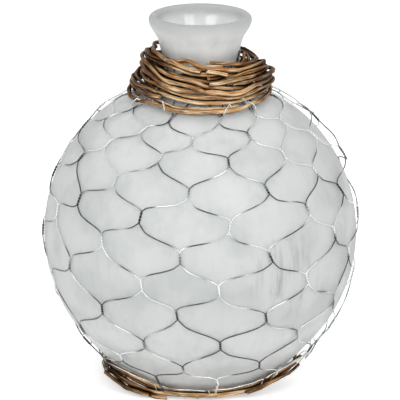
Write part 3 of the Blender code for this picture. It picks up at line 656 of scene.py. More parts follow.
def top_end(wire, column):
    """The wire above its first twist: up the shoulder under the willow, and out over its top."""
    azimuth, reach, lean, length = twist(1, column)
    lane = COLUMN_START + (wire + 0.5) * HALF_PITCH
    shown = smooth((abs(math.sin(lane / 2)) - END_SHOWS_FROM) / END_SHOWS_OVER)
    uneven = END_UNEVEN * math.sin(2.4 * wire)
    top = reach_at_height(WAIST_HEIGHT + TIE_RISE + END_RISE * shown + uneven)
    down = np.linspace(top, reach + length / 2 + 2 * TWIST_OFFSET, END_STEPS)
    shoulder = SHOULDER_LATITUDE * BALL_RADIUS
    share = smooth((down - shoulder) / (down[-1] - shoulder))
    target = azimuth - length / 2 * math.tan(lean) / beside_glass(reach, 0.0)[0]
    around = lane + (target - lane) * END_DRIFT * share
    return around, down, np.full_like(down, WIRE_LIFT)


def make_net_wire(wire, material):
    """One netting wire, from the neck down to its hook round the hem wire."""
    parts = []
    before = None
    for row in range(1, LAST_ROW + 1):
        column = wire if (wire + row) % 2 else wire + 1
        line = twist_line(row, column, 0.0 if column == wire else math.pi)
        if before is None:
            parts.append(top_end(wire, column))
        else:
            right = line[0][0] > before[0][-1]
            parts.append(between(before, line, RIGHT_SAGS if right else LEFT_SAGS))
        parts.append(line)
        before = line
    around, down, lift = (np.concatenate(values) for values in zip(*parts))
    lift = lift + net_lift(around, down)
    radius, height = beside_glass(down, lift)
    path = np.vstack((place(around, radius, height), hook(around[-1], down[-1], lift[-1])))
    make_wire(f"netting_{wire + 1:02d}", path, material, (f"net_wire_{wire + 1:02d}",))


# Base ring and its hem wire

TWIG_SEAT = 2 * REST_GAP + 2 * WIRE_RADIUS  # room for the netting under a twig
RING_SEAT = TWIG_SEAT + 1.75 * MM  # from the glass out to the middle of a twig
# Rows as in COLLAR_TWIGS, below, but for the knots: azimuth in degrees, height of the twig's middle
# in mm and, where it isn't 0, how far it stands off its seat on the netting, outwards, in mm.
RING_TWIGS = (
    (1, 1, 1.8, 0.6, 0.5, 0, (
        (-250, 3.5), (-210, 4), (-170, 5), (-130, 5), (-105, 4.2), (-90, 3.8), (-78, 3.6), (-68, 4),
        (-60, 4.8), (-54, 4.6, 0.8), (-49, 3.2, 4), (-45, 2.2, 7), (-40, 2.2, 6.8), (-34, 2.2, 4.4),
        (-28, 2.1, 1.8), (-22, 2, 0.6), (-10, 2), (8, 2), (16, 2.2), (24, 2.6, 0.4), (29, 3, 0.7),
        (35, 5), (41, 7), (50, 7.8), (59, 8.3), (66, 9), (72, 10, 0.6))),
    (3, 3, 1.65, 0.5, 0.4, 0, (
        (-230, 6), (-190, 8), (-150, 10), (-120, 10.5), (-100, 9.4), (-88, 8.8), (-80, 9.4),
        (-73, 11.6), (-67, 15), (-62, 18.6), (-57, 20), (-51, 18.4), (-45, 16.8), (-39, 14.8),
        (-33, 11.6), (-27, 8.8), (-20, 7.4), (-10, 6.6), (2, 6.4), (15, 7), (23, 7.2), (30, 8),
        (36, 10.2), (43, 13.4), (50, 16.6), (57, 19), (64, 20.6), (70, 21.2, 0.6))),
    (4, None, 1.5, 0.1, 0.1, 0, (
        (-108, 6.6), (-92, 6.2), (-78, 6.2), (-68, 8.4), (-60, 11.8), (-54, 13.4), (-48, 13.2),
        (-42, 11), (-36, 8), (-30, 5.4), (-24, 4))),
    (2, 2, 1.75, 0.7, 0.6, 0, (
        (-215, 9.5), (-180, 9), (-140, 7.6), (-110, 7.2), (-95, 6.4), (-82, 6.4), (-72, 8.4),
        (-65, 11.6), (-59, 13), (-52, 11), (-46, 9, 2), (-40, 6.6, 3), (-33, 4.6, 2.4), (-25, 4, 1),
        (-14, 4.2, 0.8), (0, 4.3, 1), (14, 4.4, 1), (24, 4.8, 1), (31, 5.2, 1.6), (37, 7, 1.4),
        (44, 10), (50, 12.4), (57, 14.4), (64, 15.6, 0.4), (69, 16.2, 1))),
    (5, None, 1.6, 0.4, 0.3, 0, (
        (95, 8), (120, 7), (160, 4.5), (190, 4.5), (215, 6.5), (240, 8), (262, 7.6))),
    (6, None, 1.5, 0.3, 0.3, 0, (
        (84, 10, 1), (100, 11), (130, 12), (165, 9), (200, 11), (230, 11.6))),
    (9, None, 1.3, 0.15, 0.1, 0, (
        (27, 4.8), (34, 6.8), (41, 9.8), (48, 11), (57, 11.6), (66, 12.6, 0.6), (72, 13.4, 1.4))),
    (7, None, 1.4, 0.3, 0.2, 0, (
        (-62, 8), (-55, 7, 1), (-49, 5, 4), (-43, 4, 6), (-36, 3.6, 5), (-29, 2.2, 3.6),
        (-24, 1.7, 2.6), (-19, 1.5, 3.4))),
    (8, None, 1.4, 0.55, 0.3, 0, (
        (-61, 13, 0.4), (-55, 10, 1.6), (-49, 6.8, 4), (-44, 5, 7.6), (-39, 4.6, 7),
        (-33, 3.8, 4.6), (-28, 3.2, 3.6))),
)
HEM_TWIG = 1  # place in RING_TWIGS of the twig along the ring's top
HEM_TWIG_START = -235.0  # degrees, where the search along that twig starts
# The end of a netting wire, as shares of the way down from the hem wire's place to its last twist
# and of the way out to over the hem wire
HOOK_STEPS = ((0.7, 0.5), (0.35, 1.0), (0.0, 1.0), (-0.12, 0.85), (-0.2, 0.55))
HOOK_TIPS = (1.2, 1.5)  # mm, how far below the hem wire its last two points lie
HOOK_RISE = 2.0 * MM  # of the hem wire over the top twig's middle, for the hooks
HOOK_LIFT = TWIG_SEAT + 3.2 * MM + 2.4 * WIRE_RADIUS  # over the hem wire
# One lacing of the hem wire, in front of the ring's twigs, under them and up behind them: share of
# its width, height as a part of the top twig's and mm added to it, and mm outwards from the seat
LACING_WIDTH = math.radians(3.4)
LACING = (
    (-0.50, 1.0, 1.8, 1.6), (-0.42, 1.0, 0.6, 2.4), (-0.30, 0.5, 1.4, 3.6), (-0.18, 0.0, 2.4, 3.4),
    (-0.10, 0.0, 0.7, 2.6), (0.0, 0.0, 0.5, 1.0), (0.08, 0.0, 0.5, -0.4), (0.16, 0.0, 1.6, -1.6),
    (0.26, 0.5, 1.0, -2.0), (0.34, 1.0, 0.8, -1.7), (0.42, 1.0, 2.0, -0.4), (0.50, 1.0, 2.0, 1.2),
)
HEM_RISE = 1.9  # mm of the hem wire over the top twig's middle, between lacings


def filled(knots):
    """Knots as rows of three, where a third value that is left out is 0."""
    return np.array([(*knot, 0.0)[:3] for knot in knots], float)


def ring_seat(height):
    """Radius of a twig's middle where it lies on the netting round the flank, at this height."""
    return beside_glass(reach_at_height(height, RING_SEAT), RING_SEAT)[0]


def hem_height(azimuth):
    """Height of the middle of the ring's top twig, which the hem wire follows."""
    knots = filled(RING_TWIGS[HEM_TWIG][-1])
    turned = (np.degrees(azimuth) - HEM_TWIG_START) % 360.0 + HEM_TWIG_START
    return np.interp(turned, knots[:, 0], knots[:, 1]) * MM


def hook(azimuth, reach, lift):
    """End of a netting wire: out over the hem wire and back under it, in a few straight steps."""
    hem = reach_at_height(hem_height(azimuth) + HOOK_RISE, TWIG_SEAT)
    steps = np.array(HOOK_STEPS)
    down = hem + steps[:, 0] * (reach - hem)
    down[-len(HOOK_TIPS) :] = hem - np.array(HOOK_TIPS) * MM
    radius, height = beside_glass(down, lift + steps[:, 1] * (HOOK_LIFT - lift))
    return place(np.full(len(steps), azimuth), radius, height)


def make_hem_wire(material):
    """The hem wire: along the ring's top edge, with one turn round the whole ring at every lacing.
    Each lacing eases out, down, under, up behind the twigs and over them again."""
    parts = []
    width, part, rise, out = np.transpose(LACING)
    for column in range(0, WIRE_COUNT, 2):
        middle = COLUMN_START + column * HALF_PITCH + ROW_DRIFT * LAST_ROW
        top = hem_height(middle) / MM
        parts.append(np.column_stack((middle + LACING_WIDTH * width, part * top + rise, out)))
        way = (2 * HALF_PITCH - LACING_WIDTH) * np.linspace(0.0, 1.0, 14)[1:-1]
        level = middle + LACING_WIDTH / 2 + way
        wave = 0.5 * np.sin(3.0 * level * NET_COLUMNS / 2)
        sway = 0.9 + 0.5 * np.cos(5.0 * level)
        parts.append(np.column_stack((level, hem_height(level) / MM + HEM_RISE + wave, sway)))
    knots = resample(np.vstack(parts), 4)
    height = knots[:, 1] * MM
    path = place(knots[:, 0], ring_seat(height) + knots[:, 2] * MM, height)
    make_wire("hem_wire", path, material, ("net_hem_wire",))


def resample(knots, steps):
    """A Catmull-Rom curve through the knots: between two of them a Hermite curve whose pulls are
    half the way between each one's neighbours."""
    padded = np.vstack((2 * knots[0] - knots[1], knots, 2 * knots[-1] - knots[-2]))
    pulls = (padded[2:] - padded[:-2]) / 2
    t = (np.arange(steps) / steps)[None, :, None]
    start, end = knots[:-1, None], knots[1:, None]
    start_pull, end_pull = pulls[:-1, None], pulls[1:, None]
    curve = hermite(t, start, start_pull, end, end_pull)
    return np.vstack((curve.reshape(-1, knots.shape[1]), knots[-1:]))


# Willow

TWIG_SIDES = 12
TWIG_TAPER = 1 / 8
UNEVENNESS = 0.045
SWELLING = (0.12, 2.2)  # part of the radius, and mm that it takes along the twig
BUD = (0.40, 1.7)
FIRST_BUD = (10.0, 25.0)  # mm from the twig's end
BUD_GAPS = (28.0, 46.0)  # mm between buds
CUT_SLANTS = (0.2, 0.55)  # parts of the radius
CORNER_GAPS = (11.0, 26.0)  # degrees between a twig's small corners
CORNER_SIZES = (0.55, 0.40)  # mm up or down, and in or out
CORNERS = 90  # enough for the longest twig
CORNER_LEAD = 30.0  # degrees before the twig's start
# Twigs are paler at the front, partly painted light, and past it they turn darker and greener,
# partly the bark's own colour and partly painted shade: the azimuth of the pale middle, its half
# width and the width of the change, in degrees, and the painted shade added at the end.
LIT_PALE_FRONT_AZIMUTH = 4.0
LIT_PALE_FRONT_HALF_WIDTH = 26.0
LIT_PALE_FRONT_CHANGE = 36.0
SIDE_SHADE_AND_DARK_BARK = 0.45
AZIMUTH_STEP = 2.0  # degrees between the rings of a twig
PLANES = round(360.0 / AZIMUTH_STEP)
PILE_ROUNDS = 8
PILE_AIR = 0.1  # mm between twigs that cross
SHADE_REACH = 0.9  # mm, how far the shade of a twig beside another goes
SAME_TWIG = 0.6  # mm, a middle that is nearer than this in the same plane is the twig's own
# A twig that lies outside another covers it, and paints shade on it: from how far out and over how
# much more, within how far aside and over how much less, and up to how far out, in mm.
COVER_FROM = 0.8
COVER_OVER = 1.6
COVER_ASIDE = 3.6
COVER_FADE = 2.4
COVER_REACH = 14.0
# A twig's inner side is shut in: from how far outside its middle and over how much more inwards,
# and up to what height, above which it is open to the light, and over how much less, in mm.
INNER_FROM = 0.4
INNER_OVER = 1.4
OPEN_HEIGHT = 249.0
OPEN_OVER = 5.0
# What a twig beside it, a twig outside it and its inner side add to the painted shade on a twig
SHADE_BY_GAP = 0.85
SHADE_BY_COVER = 0.45
SHADE_INSIDE = 0.8
# Slow waves in the bark's colour along a twig: radians in a metre, and what each wave adds to the
# tone and to the cast
BARK_WAVES = (38.0, 91.0, 235.0, 410.0)
TONE_WAVES = (0.14, 0.12, 0.16, 0.12)
CAST_WAVES = (0.15, -0.12, 0.08, 0.0)
COLLAR_LATITUDE = math.radians(60.7)
COLLAR_SEAT = 0.0042  # from the glass out to the middle of a twig that lies on the netting
COLLAR_SEAT_LENGTH = 0.007
COLLAR_TOP_CLEARANCE = 0.0033
COLLAR_TOP_LEAN = math.radians(30.0)
COLLAR_PULL = 0.82
# Number, number of the node it stands for, radius in mm, tone from dark 0 to pale 1, cast from
# olive 0 to red 1, depth under the outside in mm, and knots: azimuth in degrees, way up the collar
# in mm and, where it isn't 0, extra lift in mm. Laid in this order.
# The deep twigs laid first under the outer windings have a dark tone, which is painted shade.
COLLAR_TWIGS = (
    (4, 4, 1.7, 0.2, 0.3, 12, (
        (-260, 20), (-210, 19), (-180, 19), (-135, 22), (-90, 25), (-60, 25), (-30, 23), (0, 21),
        (30, 22), (60, 24), (100, 26), (150, 25), (200, 27), (240, 31), (280, 33), (315, 30),
        (345, 28), (375, 28), (410, 30), (440, 32), (460, 33))),
    (5, 5, 1.6, 0.3, 0.3, 9, (
        (-240, 30), (-180, 30), (-120, 34), (-90, 35), (-60, 35), (-30, 34), (0, 33), (30, 34),
        (60, 36), (90, 36), (150, 35), (210, 36), (228, 36))),
    (31, None, 1.5, 0.05, 0.2, 7, (
        (-100, 30), (-70, 31), (-40, 30), (-10, 31.5), (20, 30.5), (50, 29.5), (80, 30),
        (110, 31))),
    (33, None, 1.6, 0.05, 0.2, 8, (
        (-70, 26.5), (-40, 24), (-10, 25.5), (20, 23.8), (50, 22), (80, 23))),
    (32, None, 1.5, 0.1, 0.3, 6, (
        (-12, 36.5), (10, 35.5), (35, 35.8), (60, 36.5), (100, 38), (140, 39), (200, 40))),
    (21, None, 1.6, 0.1, 0.2, 9, (
        (52, 12.4), (80, 12.4), (110, 13.4), (150, 14.4), (190, 18), (225, 20), (255, 20.5),
        (280, 21), (296, 20))),
    (23, None, 1.6, 0.15, 0.3, 8, (
        (-60, 30), (-30, 26.5), (0, 24), (30, 21), (60, 20), (100, 21), (150, 23))),
    (36, None, 1.4, 0.1, 0.1, 3, (
        (-160, 13.4), (-125, 12.6), (-98, 11.4), (-82, 10.8), (-68, 9.8), (-58, 10.2))),
    (35, None, 1.5, 0.15, 0.1, 2, (
        (-150, 20), (-115, 21.2), (-88, 21.1), (-70, 20.6), (-58, 19.7), (-48, 19.2), (-40, 18.5))),
    (17, None, 1.4, 0.2, 0.2, 8, (
        (34, 35), (46, 36.4), (56, 39), (64, 42.6), (70, 46.6))),
    (18, None, 1.5, 0.1, 0.1, 5, (
        (44, 31), (56, 33.4), (66, 37), (74, 41.6, 0.6))),
    (19, None, 1.4, 0.1, 0.2, 5, (
        (52, 26.4), (64, 29), (74, 33.4), (81, 38, 1))),
    (38, None, 1.5, 0.7, 0.5, 3, (
        (8, 30), (24, 30.6), (38, 30.2), (48, 30, 0.8), (58, 29.8, 2.8), (66, 29.4, 5),
        (72, 29, 7.4))),
    (6, 6, 1.5, 0.4, 0.5, 8, (
        (-75, 37), (-60, 35.5), (-50, 34), (-40, 32.8), (-32, 32), (-23, 30.8), (-13, 30), (-3, 29),
        (7, 28), (15, 27.5), (22, 27.6), (33, 28.4), (45, 29.1), (59, 28.9), (77, 28.8),
        (100, 28.6), (140, 28), (180, 29), (215, 29))),
    (8, None, 1.6, 0.4, 0.2, 5, (
        (12, 42, 0.5), (24, 41), (33, 39.5), (42, 37.2), (53, 35.9), (65, 35.4), (85, 35.4),
        (120, 36), (160, 36), (205, 35))),
    (7, None, 1.5, 1.0, 0.7, 3, (
        (-24, 37, -1), (-10, 38.3), (5, 38.6, 0.5), (15, 38.6, 0.8), (25, 37.6, 1.2))),
    (9, 9, 1.5, 0.5, 0.85, 6, (
        (-130, 31), (-110, 34), (-90, 36), (-70, 36), (-52, 34.2), (-41, 32.4), (-31, 30),
        (-22, 28.8), (-12, 27.6), (-3, 26.5), (5, 23.8), (14, 22.6), (22, 21, 0.3),
        (31, 19.7, 0.8))),
    (10, 10, 1.4, 0.8, 0.4, 6, (
        (-52, 22), (-40, 19.4), (-26, 16), (-15, 14), (-7, 13), (1, 12.6), (8, 12.6), (15, 12.4),
        (22, 11.9), (32, 12.4), (43, 14.6), (55, 17.6), (66, 20), (76, 21.8, 0.8), (84, 23.2, 3),
        (91, 24.2, 6))),
    (1, 1, 1.6, 1.0, 0.75, 6, (
        (-260, 6.6), (-220, 7), (-180, 7.6), (-140, 9), (-110, 9.4), (-95, 8.6), (-83, 7.7),
        (-69, 5.9), (-60, 6.2), (-50, 7.2), (-41, 7.6), (-33, 6.8), (-26, 4.9), (-20, 3.3),
        (-13, 2.3), (0, 2.5), (12, 2.4), (24, 2.4), (32, 3.2), (38, 5), (44, 6.4), (54, 7.6),
        (75, 8.6), (100, 10), (130, 10.8), (170, 12), (210, 15), (245, 17.4), (270, 18),
        (290, 17.6), (305, 17.2), (318, 16.6), (327, 15.4), (336, 13.8), (345, 12.4), (353, 11.2),
        (362, 10.4), (372, 10.1), (384, 9.9), (393, 10.2), (405, 11.4), (420, 12.2),
        (436, 13.4, 0.3), (443, 15, 2.4), (449, 16.8, 6.4))),
    (20, None, 1.35, 1.0, 0.9, 4, (
        (-57, 11.6), (-50, 11.4), (-43, 10.9), (-36, 10.2), (-27, 8.6), (-18, 6.7), (-8, 5.9),
        (4, 5.7), (16, 5.7), (26, 6.2), (32, 6.9))),
    (2, 2, 1.6, 0.75, 0.6, 5, (
        (-200, 22), (-150, 25), (-118, 27), (-98, 27), (-85, 25.4), (-70, 24), (-60, 23.2),
        (-50, 22.7), (-40, 21.8), (-33, 20.4), (-26, 18.7), (-18, 17), (-9, 15.5), (0, 15),
        (9, 14.9), (18, 14.3), (25, 13.4), (32, 13.2), (42, 14.8), (54, 15.6), (70, 15.6),
        (110, 16), (160, 16), (200, 15.6), (235, 14.6), (260, 14.4), (275, 14.2), (290, 14),
        (300, 14), (312, 14), (320, 13.7), (327, 13.3, 0.4))),
    (3, 3, 1.8, 0.6, 0.7, 5, (
        (-150, 22), (-120, 27), (-90, 30), (-72, 29.6), (-58, 28.4), (-50, 27.2), (-42, 24.9),
        (-35, 23), (-28, 21.3), (-20, 20.2), (-12, 19.9), (-5, 19.3), (6, 19), (14, 18.2), (21, 17),
        (28, 16.6), (37, 16.9), (46, 18.6), (56, 19.3), (75, 19.2), (100, 19.3), (140, 21),
        (180, 27), (215, 34), (240, 36), (263, 37.6), (275, 38.5), (290, 39.3), (300, 39.6),
        (308, 39.4), (316, 38.8), (326, 38.2), (336, 36.8), (348, 34.6), (360, 32.5), (370, 31.6),
        (380, 32.6), (388, 33.6, 0.3))),
    (11, 7, 1.6, 0.4, 0.55, 3, (
        (-120, 40.4), (-90, 41.2), (-70, 41.9), (-50, 42.8), (-36, 42.9), (-26, 43.1), (-18, 43.2),
        (-13, 42.1), (-8, 40.6), (0, 38.2), (6, 36.2), (12, 34.8), (20, 33.8), (30, 32.8),
        (40, 32.4), (48, 32.4), (58, 32.1), (70, 32), (100, 32.8), (140, 35), (185, 36))),
    (12, 12, 1.55, 0.65, 0.6, 4, (
        (-130, 31), (-105, 35), (-86, 36), (-72, 35.2), (-61, 34), (-53, 32.4), (-46, 30.4),
        (-40, 28), (-33, 26), (-25, 24.9), (-17, 24), (-9, 22.5), (-3, 20.9, 0.2), (3, 19.3, 0.6))),
    (13, 11, 1.6, 0.8, 0.75, 3, (
        (-210, 33), (-170, 38), (-130, 42), (-100, 44.3), (-80, 45.4), (-66, 45.4), (-56, 44.8),
        (-48, 43.6), (-42, 42.2), (-35, 40.9), (-28, 39.5), (-21, 37.9), (-14, 36.4), (-6, 35, 0.3),
        (2, 34, 0.8))),
    (25, None, 1.5, 0.9, 0.9, 3, (
        (5, 33.4, -1.5), (12, 32.4), (20, 30.9, 0.6), (26, 29.2, 1.2))),
    (14, 8, 1.75, 0.55, 0.15, 2, (
        (29, 24.3, 1), (36, 24, 0.4), (42, 23.2), (50, 22.8), (60, 22.6), (75, 22.4), (86, 20.6),
        (98, 20.4), (130, 19.6), (175, 18))),
    (26, None, 1.4, 0.55, 0.35, 3, (
        (8, 24.4, -1), (18, 24.6), (27, 25.2), (36, 25.8), (48, 26), (60, 25.8), (80, 25.6),
        (110, 25), (150, 24))),
)


# Short strands of netting over the collar, as knots: azimuth in degrees, and way up the collar and
# distance outwards from it in mm
STRANDS = (
    ((33, 12.6, 1.2), (34.5, 11.6, 3.8), (37, 8.6, 3.2), (40, 5.2, 3), (42.5, 2.2, 2.2),
     (44, 0.6, -1)),
    ((24.5, 8.6, 0.8), (23.5, 7.6, 3.4), (21, 4.6, 3), (18.5, 1.8, 2.6), (17, 0.6, -1)),
    ((-30, 11.4, 0.6), (-29.5, 10.4, 3), (-28.5, 7.2, 2.6), (-27.5, 3.6, 2.2), (-27, 2.2, -0.6)),
    ((-54, 8.6, 0.2), (-55, 7.6, 2.4), (-57, 4.6, 2.2), (-59, 1.8, 0.6), (-60, 0.6, -1.4)),
)


def collar_line():
    """The line that the collar's outermost twigs follow: along the ball on the netting, then one
    Hermite curve up and in to the throat. Gives the way up it, its points, its outward directions
    and how far the glass lies behind it, all in mm."""
    foot = COLLAR_LATITUDE * BALL_RADIUS
    on_ball = foot + np.linspace(0.0, COLLAR_SEAT_LENGTH, 8)
    seat = np.column_stack(beside_glass(on_ball, COLLAR_SEAT))
    top = np.array((THROAT_RADIUS + COLLAR_TOP_CLEARANCE, THROAT_HEIGHT))
    pull = COLLAR_PULL * math.dist(seat[-1], top)
    arrive = (-pull * math.sin(COLLAR_TOP_LEAN), pull * math.cos(COLLAR_TOP_LEAN))
    line = np.vstack((seat, cubic(seat[-1], (0.0, pull), top, arrive, 60)))
    way_up = way_along(line)
    slope = unit(np.gradient(line, way_up, axis=0))
    to_glass = np.linalg.norm(line[:, None] - TRACK[None], axis=2).min(axis=1)
    return way_up / MM, line / MM, np.column_stack((slope[:, 1], -slope[:, 0])), to_glass / MM


def above_and_aside(towards, outward):
    """How far each vector goes along an outward direction, and how far aside from it."""
    aside = towards[..., 0] * outward[..., 1] - towards[..., 1] * outward[..., 0]
    return np.sum(towards * outward, axis=-1), aside


def pile_up(laid, plane, seats, outward, lift, radius):
    """Lifts of a twig over its seats, raised where it would run into twigs laid before it. In each
    plane through the axis its middle keeps both radii and a little air from every middle there.
    Where it comes nearer it goes up to the other's height plus one leg of a right triangle whose
    other leg is how far the other lies aside, and it eases up and down to that place."""
    turns = np.arange(len(plane)) // PLANES
    least = lift
    for turn in range(turns.max() + 1):
        mine = turns == turn
        for _ in range(PILE_ROUNDS):
            spot = seats + lift[:, None] * outward
            need = np.full(len(plane), -np.inf)
            for other_plane, other, other_radius in laid:
                keep = radius + other_radius + PILE_AIR
                towards = other[None] - seats[mine][:, None]
                near = np.linalg.norm(other[None] - spot[mine][:, None], axis=2) < 0.995 * keep
                meets = near & (plane[mine][:, None] == other_plane[None])
                above, aside = above_and_aside(towards, outward[mine][:, None])
                over = above + np.sqrt(np.maximum(0.0, keep**2 - aside**2))
                need[mine] = np.maximum(need[mine], np.where(meets, over, -np.inf).max(axis=1))
            if not np.isfinite(need).any():
                break
            least = np.maximum(least, need)
            lift = np.maximum(lift, ease(least))
        spot = seats + lift[:, None] * outward
        laid.append((plane[mine], spot[mine], radius))
    return lift


def ease(values, width=2):
    """Running highest value over 4 width + 1 steps, then two running means over 2 width + 1."""
    windows = np.lib.stride_tricks.sliding_window_view
    calm = windows(np.pad(values, 2 * width, mode="edge"), 4 * width + 1).max(axis=1)
    for _ in range(2):
        calm = windows(np.pad(calm, width, mode="edge"), 2 * width + 1).mean(axis=1)
    return calm


def painted_shade_depth(vertices, plane, spots, outward, laid):
    """How deep in painted shade each vertex lies, 0 to 1. Every other twig in its plane adds a
    share of exp(-(gap / reach)2) for the gap to that twig, and more where that twig lies outside
    it. A twig's inner side is painted in shade too, but for the top windings, which light reaches
    from above."""
    radii = np.hypot(vertices[..., 0], vertices[..., 1])
    places = np.stack((radii, vertices[..., 2]), axis=-1) / MM
    deep = np.zeros(places.shape[:2])
    for other_plane, other, other_radius in laid:
        where = np.full((PLANES, 2), np.inf)
        where[other_plane] = other
        there = where[plane]
        apart = np.linalg.norm(there - spots, axis=1) > SAME_TWIG
        towards = np.where(np.isfinite(there) & apart[:, None], there, 1e3)[:, None] - places
        gap = np.maximum(np.linalg.norm(towards, axis=2) - other_radius, 0.0)
        over, aside = above_and_aside(towards, outward[:, None])
        covered = smooth((over - COVER_FROM) / COVER_OVER) * (over < COVER_REACH)
        covered *= smooth((COVER_ASIDE - np.abs(aside)) / COVER_FADE)
        deep += SHADE_BY_GAP * np.exp(-((gap / SHADE_REACH) ** 2)) + SHADE_BY_COVER * covered
    inside = np.sum((places - spots[:, None]) * outward[:, None], axis=2)
    shut_in = smooth((INNER_FROM - inside) / INNER_OVER)
    shut_in *= smooth((OPEN_HEIGHT - places[..., 1]) / OPEN_OVER)
    return np.clip(deep + SHADE_INSIDE * shut_in, 0.0, 1.0)


def bump_along(off, size_and_width):
    """A smooth swelling along a twig, size exp(-(off/width)2)."""
    size, width = size_and_width
    return size * np.exp(-((off / (width * MM)) ** 2))


def make_twig(name, nodes, path, radius, colours, rng, laid, materials):
    """A willow twig along a path: a tube that tapers by an eighth, with a ring of swelling and a
    low bud every 28 to 46 mm and ends cut across at a slant. The radius is
    r (1 - t/8) (1 + swelling + bud cos(u - side)3) plus fine unevenness. Bark is paler at the
    front, partly painted light, and darker and greener round the sides and back, partly the bark's
    own colour and partly painted shade."""
    azimuths, spots, outward = path
    path = place(np.radians(azimuths), MM * spots[:, 0], MM * spots[:, 1])
    length = way_along(path)
    total = length[-1]
    radii = radius * MM * (1.0 - length / total * TWIG_TAPER)[:, None]
    angle = full_turn(TWIG_SIDES)[None]
    uneven = np.zeros((len(path), TWIG_SIDES))
    for cycle in (1, 2, 3):
        rate, phase = rng.uniform(90, 260), rng.uniform(0, 2 * math.pi)
        wave = np.sin(rate * length[:, None] * cycle / 2 + cycle * angle + phase)
        uneven = uneven + UNEVENNESS * wave
    bud_at = rng.uniform(*FIRST_BUD) * MM
    while bud_at < total - 5 * MM:
        side = rng.uniform(0, 2 * math.pi)
        off = length[:, None] - bud_at
        bud = bump_along(off, BUD) * np.maximum(0.0, np.cos(angle - side)) ** 3
        uneven = uneven + bump_along(off, SWELLING) + bud
        bud_at += rng.uniform(*BUD_GAPS) * MM
    vertices, faces = tube(path, radii * (1.0 + uneven), TWIG_SIDES)
    tangent, _, _ = carried_frames(path)
    for end, way in ((0, -1.0), (-1, 1.0)):
        slant = rng.uniform(*CUT_SLANTS) * radius * MM
        slant = slant * np.cos(angle[0] - rng.uniform(0, 2 * math.pi))
        vertices[end] = vertices[end] + way * slant[:, None] * tangent[end]
    flags = np.zeros(len(faces), np.int32)
    flags[-2:] = 1
    piece = finish_piece(
        name, vertices, faces, materials, nodes, sharp=math.radians(50), flags=flags
    )
    # The bark's pattern reads the twig laid straight, from a place of its own along the pattern.
    along = np.broadcast_to(length[:, None] + rng.uniform(0.0, 9.0), uneven.shape)
    straight = np.stack((along, radii * np.cos(angle), radii * np.sin(angle)), axis=-1)
    carried = piece.data.attributes.new("straight", "FLOAT_VECTOR", "POINT")
    carried.data.foreach_set("vector", straight.astype(np.float32).ravel())
    phase = rng.uniform(0, 2 * math.pi, len(BARK_WAVES))
    waves = np.sin(np.outer(length, BARK_WAVES) + phase)
    # Paler at the front, partly painted light; darker and greener round the sides, partly painted
    # shade.
    past = np.abs(turned_from(LIT_PALE_FRONT_AZIMUTH, azimuths)) - LIT_PALE_FRONT_HALF_WIDTH
    lit_and_pale_front = 1.0 - smooth(past / LIT_PALE_FRONT_CHANGE)
    tone = colours[0] * (0.2 + 0.8 * lit_and_pale_front) + waves @ TONE_WAVES
    cast = colours[1] * (0.4 + 0.6 * lit_and_pale_front) + waves @ CAST_WAVES
    # Painted shade in the hollows between twigs, and more of it round the sides and back.
    shade = painted_shade_depth(vertices, plane_of(azimuths), spots, outward, laid)
    values = {
        "tone": np.repeat(tone, TWIG_SIDES),
        "cast": np.repeat(cast, TWIG_SIDES),
        "painted_shade": (shade + SIDE_SHADE_AND_DARK_BARK * (1.0 - lit_and_pale_front)[:, None]).ravel(),
    }
    for kind, numbers in values.items():
        carried = piece.data.attributes.new(kind, "FLOAT", "POINT")
        carried.data.foreach_set("value", np.clip(numbers, 0.0, 1.0).astype(np.float32))


def on_line(at, along, values):
    """Rows of values along a line, read off at other places on it."""
    return np.column_stack([np.interp(at, along, column) for column in np.transpose(values)])


def twig_route(knots, rng):
    """Azimuths in even steps, and the knots' values there: a curve through the knots, with the
    small corners that a twig has at its buds."""
    line = resample(filled(knots), 12)
    first = math.ceil(line[0, 0] / AZIMUTH_STEP) * AZIMUTH_STEP
    azimuths = np.arange(first, line[-1, 0], AZIMUTH_STEP)
    values = on_line(azimuths, line[:, 0], line[:, 1:])
    corners = np.cumsum(rng.uniform(*CORNER_GAPS, CORNERS)) + azimuths[0] - CORNER_LEAD
    for column, size in enumerate(CORNER_SIZES):
        values[:, column] += np.interp(azimuths, corners, rng.uniform(-size, size, CORNERS))
    return azimuths, values[:, 0], values[:, 1]


def plane_of(azimuths):
    """Which of the evenly spaced planes through the axis each azimuth lies in."""
    return np.round(azimuths / AZIMUTH_STEP).astype(int) % PLANES


def make_winding(kind, twigs, route_seed, twig_seed, seat, materials):
    """A winding's twigs, each laid over the ones before it. Each twig's route is turned by seat
    into the places and outward directions of its middle, and its lifts over them."""
    laid, paths = [], []
    for index, (_, _, radius, _, _, depth, knots) in enumerate(twigs):
        azimuths, up, extra = twig_route(knots, np.random.default_rng(route_seed + index))
        seats, outward, lift = seat(up, extra, radius, depth)
        lift = pile_up(laid, plane_of(azimuths), seats, outward, lift, radius)
        paths.append((azimuths, seats + lift[:, None] * outward, outward))
    for index, ((number, node, radius, tone, cast, _, _), path) in enumerate(zip(twigs, paths)):
        name = f"{kind}_twig_{number}"
        nodes = (f"{kind}_willow_{node}",) if node else ()
        rng = np.random.default_rng(twig_seed + index)
        make_twig(name, nodes, path, radius, (tone, cast), rng, laid, materials)


def make_collar(materials):
    """The collar's twigs, on a line that leaves the ball and leans in to the neck."""
    line_up, line, line_outward, room = collar_line()

    def seat(up, extra, _, depth):
        bed = np.interp(up, line_up, room) - COLLAR_SEAT / MM
        lift = extra - np.clip(bed, 0.0, depth)
        return on_line(up, line_up, line), on_line(up, line_up, line_outward), lift

    make_winding("neck", COLLAR_TWIGS, 1, 101, seat, materials)


def make_strands(material):
    """Short strands of the netting that lie over the collar's lowest twigs, with both ends tucked
    in behind them: curves through knots laid out as in a twig's route."""
    line_up, line, line_outward, _ = collar_line()
    for number, knots in enumerate(STRANDS):
        route = resample(np.array(knots, float), 8)
        spots = on_line(route[:, 1], line_up, line)
        spots = spots + route[:, 2:] * on_line(route[:, 1], line_up, line_outward)
        path = place(np.radians(route[:, 0]), MM * spots[:, 0], MM * spots[:, 1])
        make_wire(f"net_strand_{number + 1}", path, material)


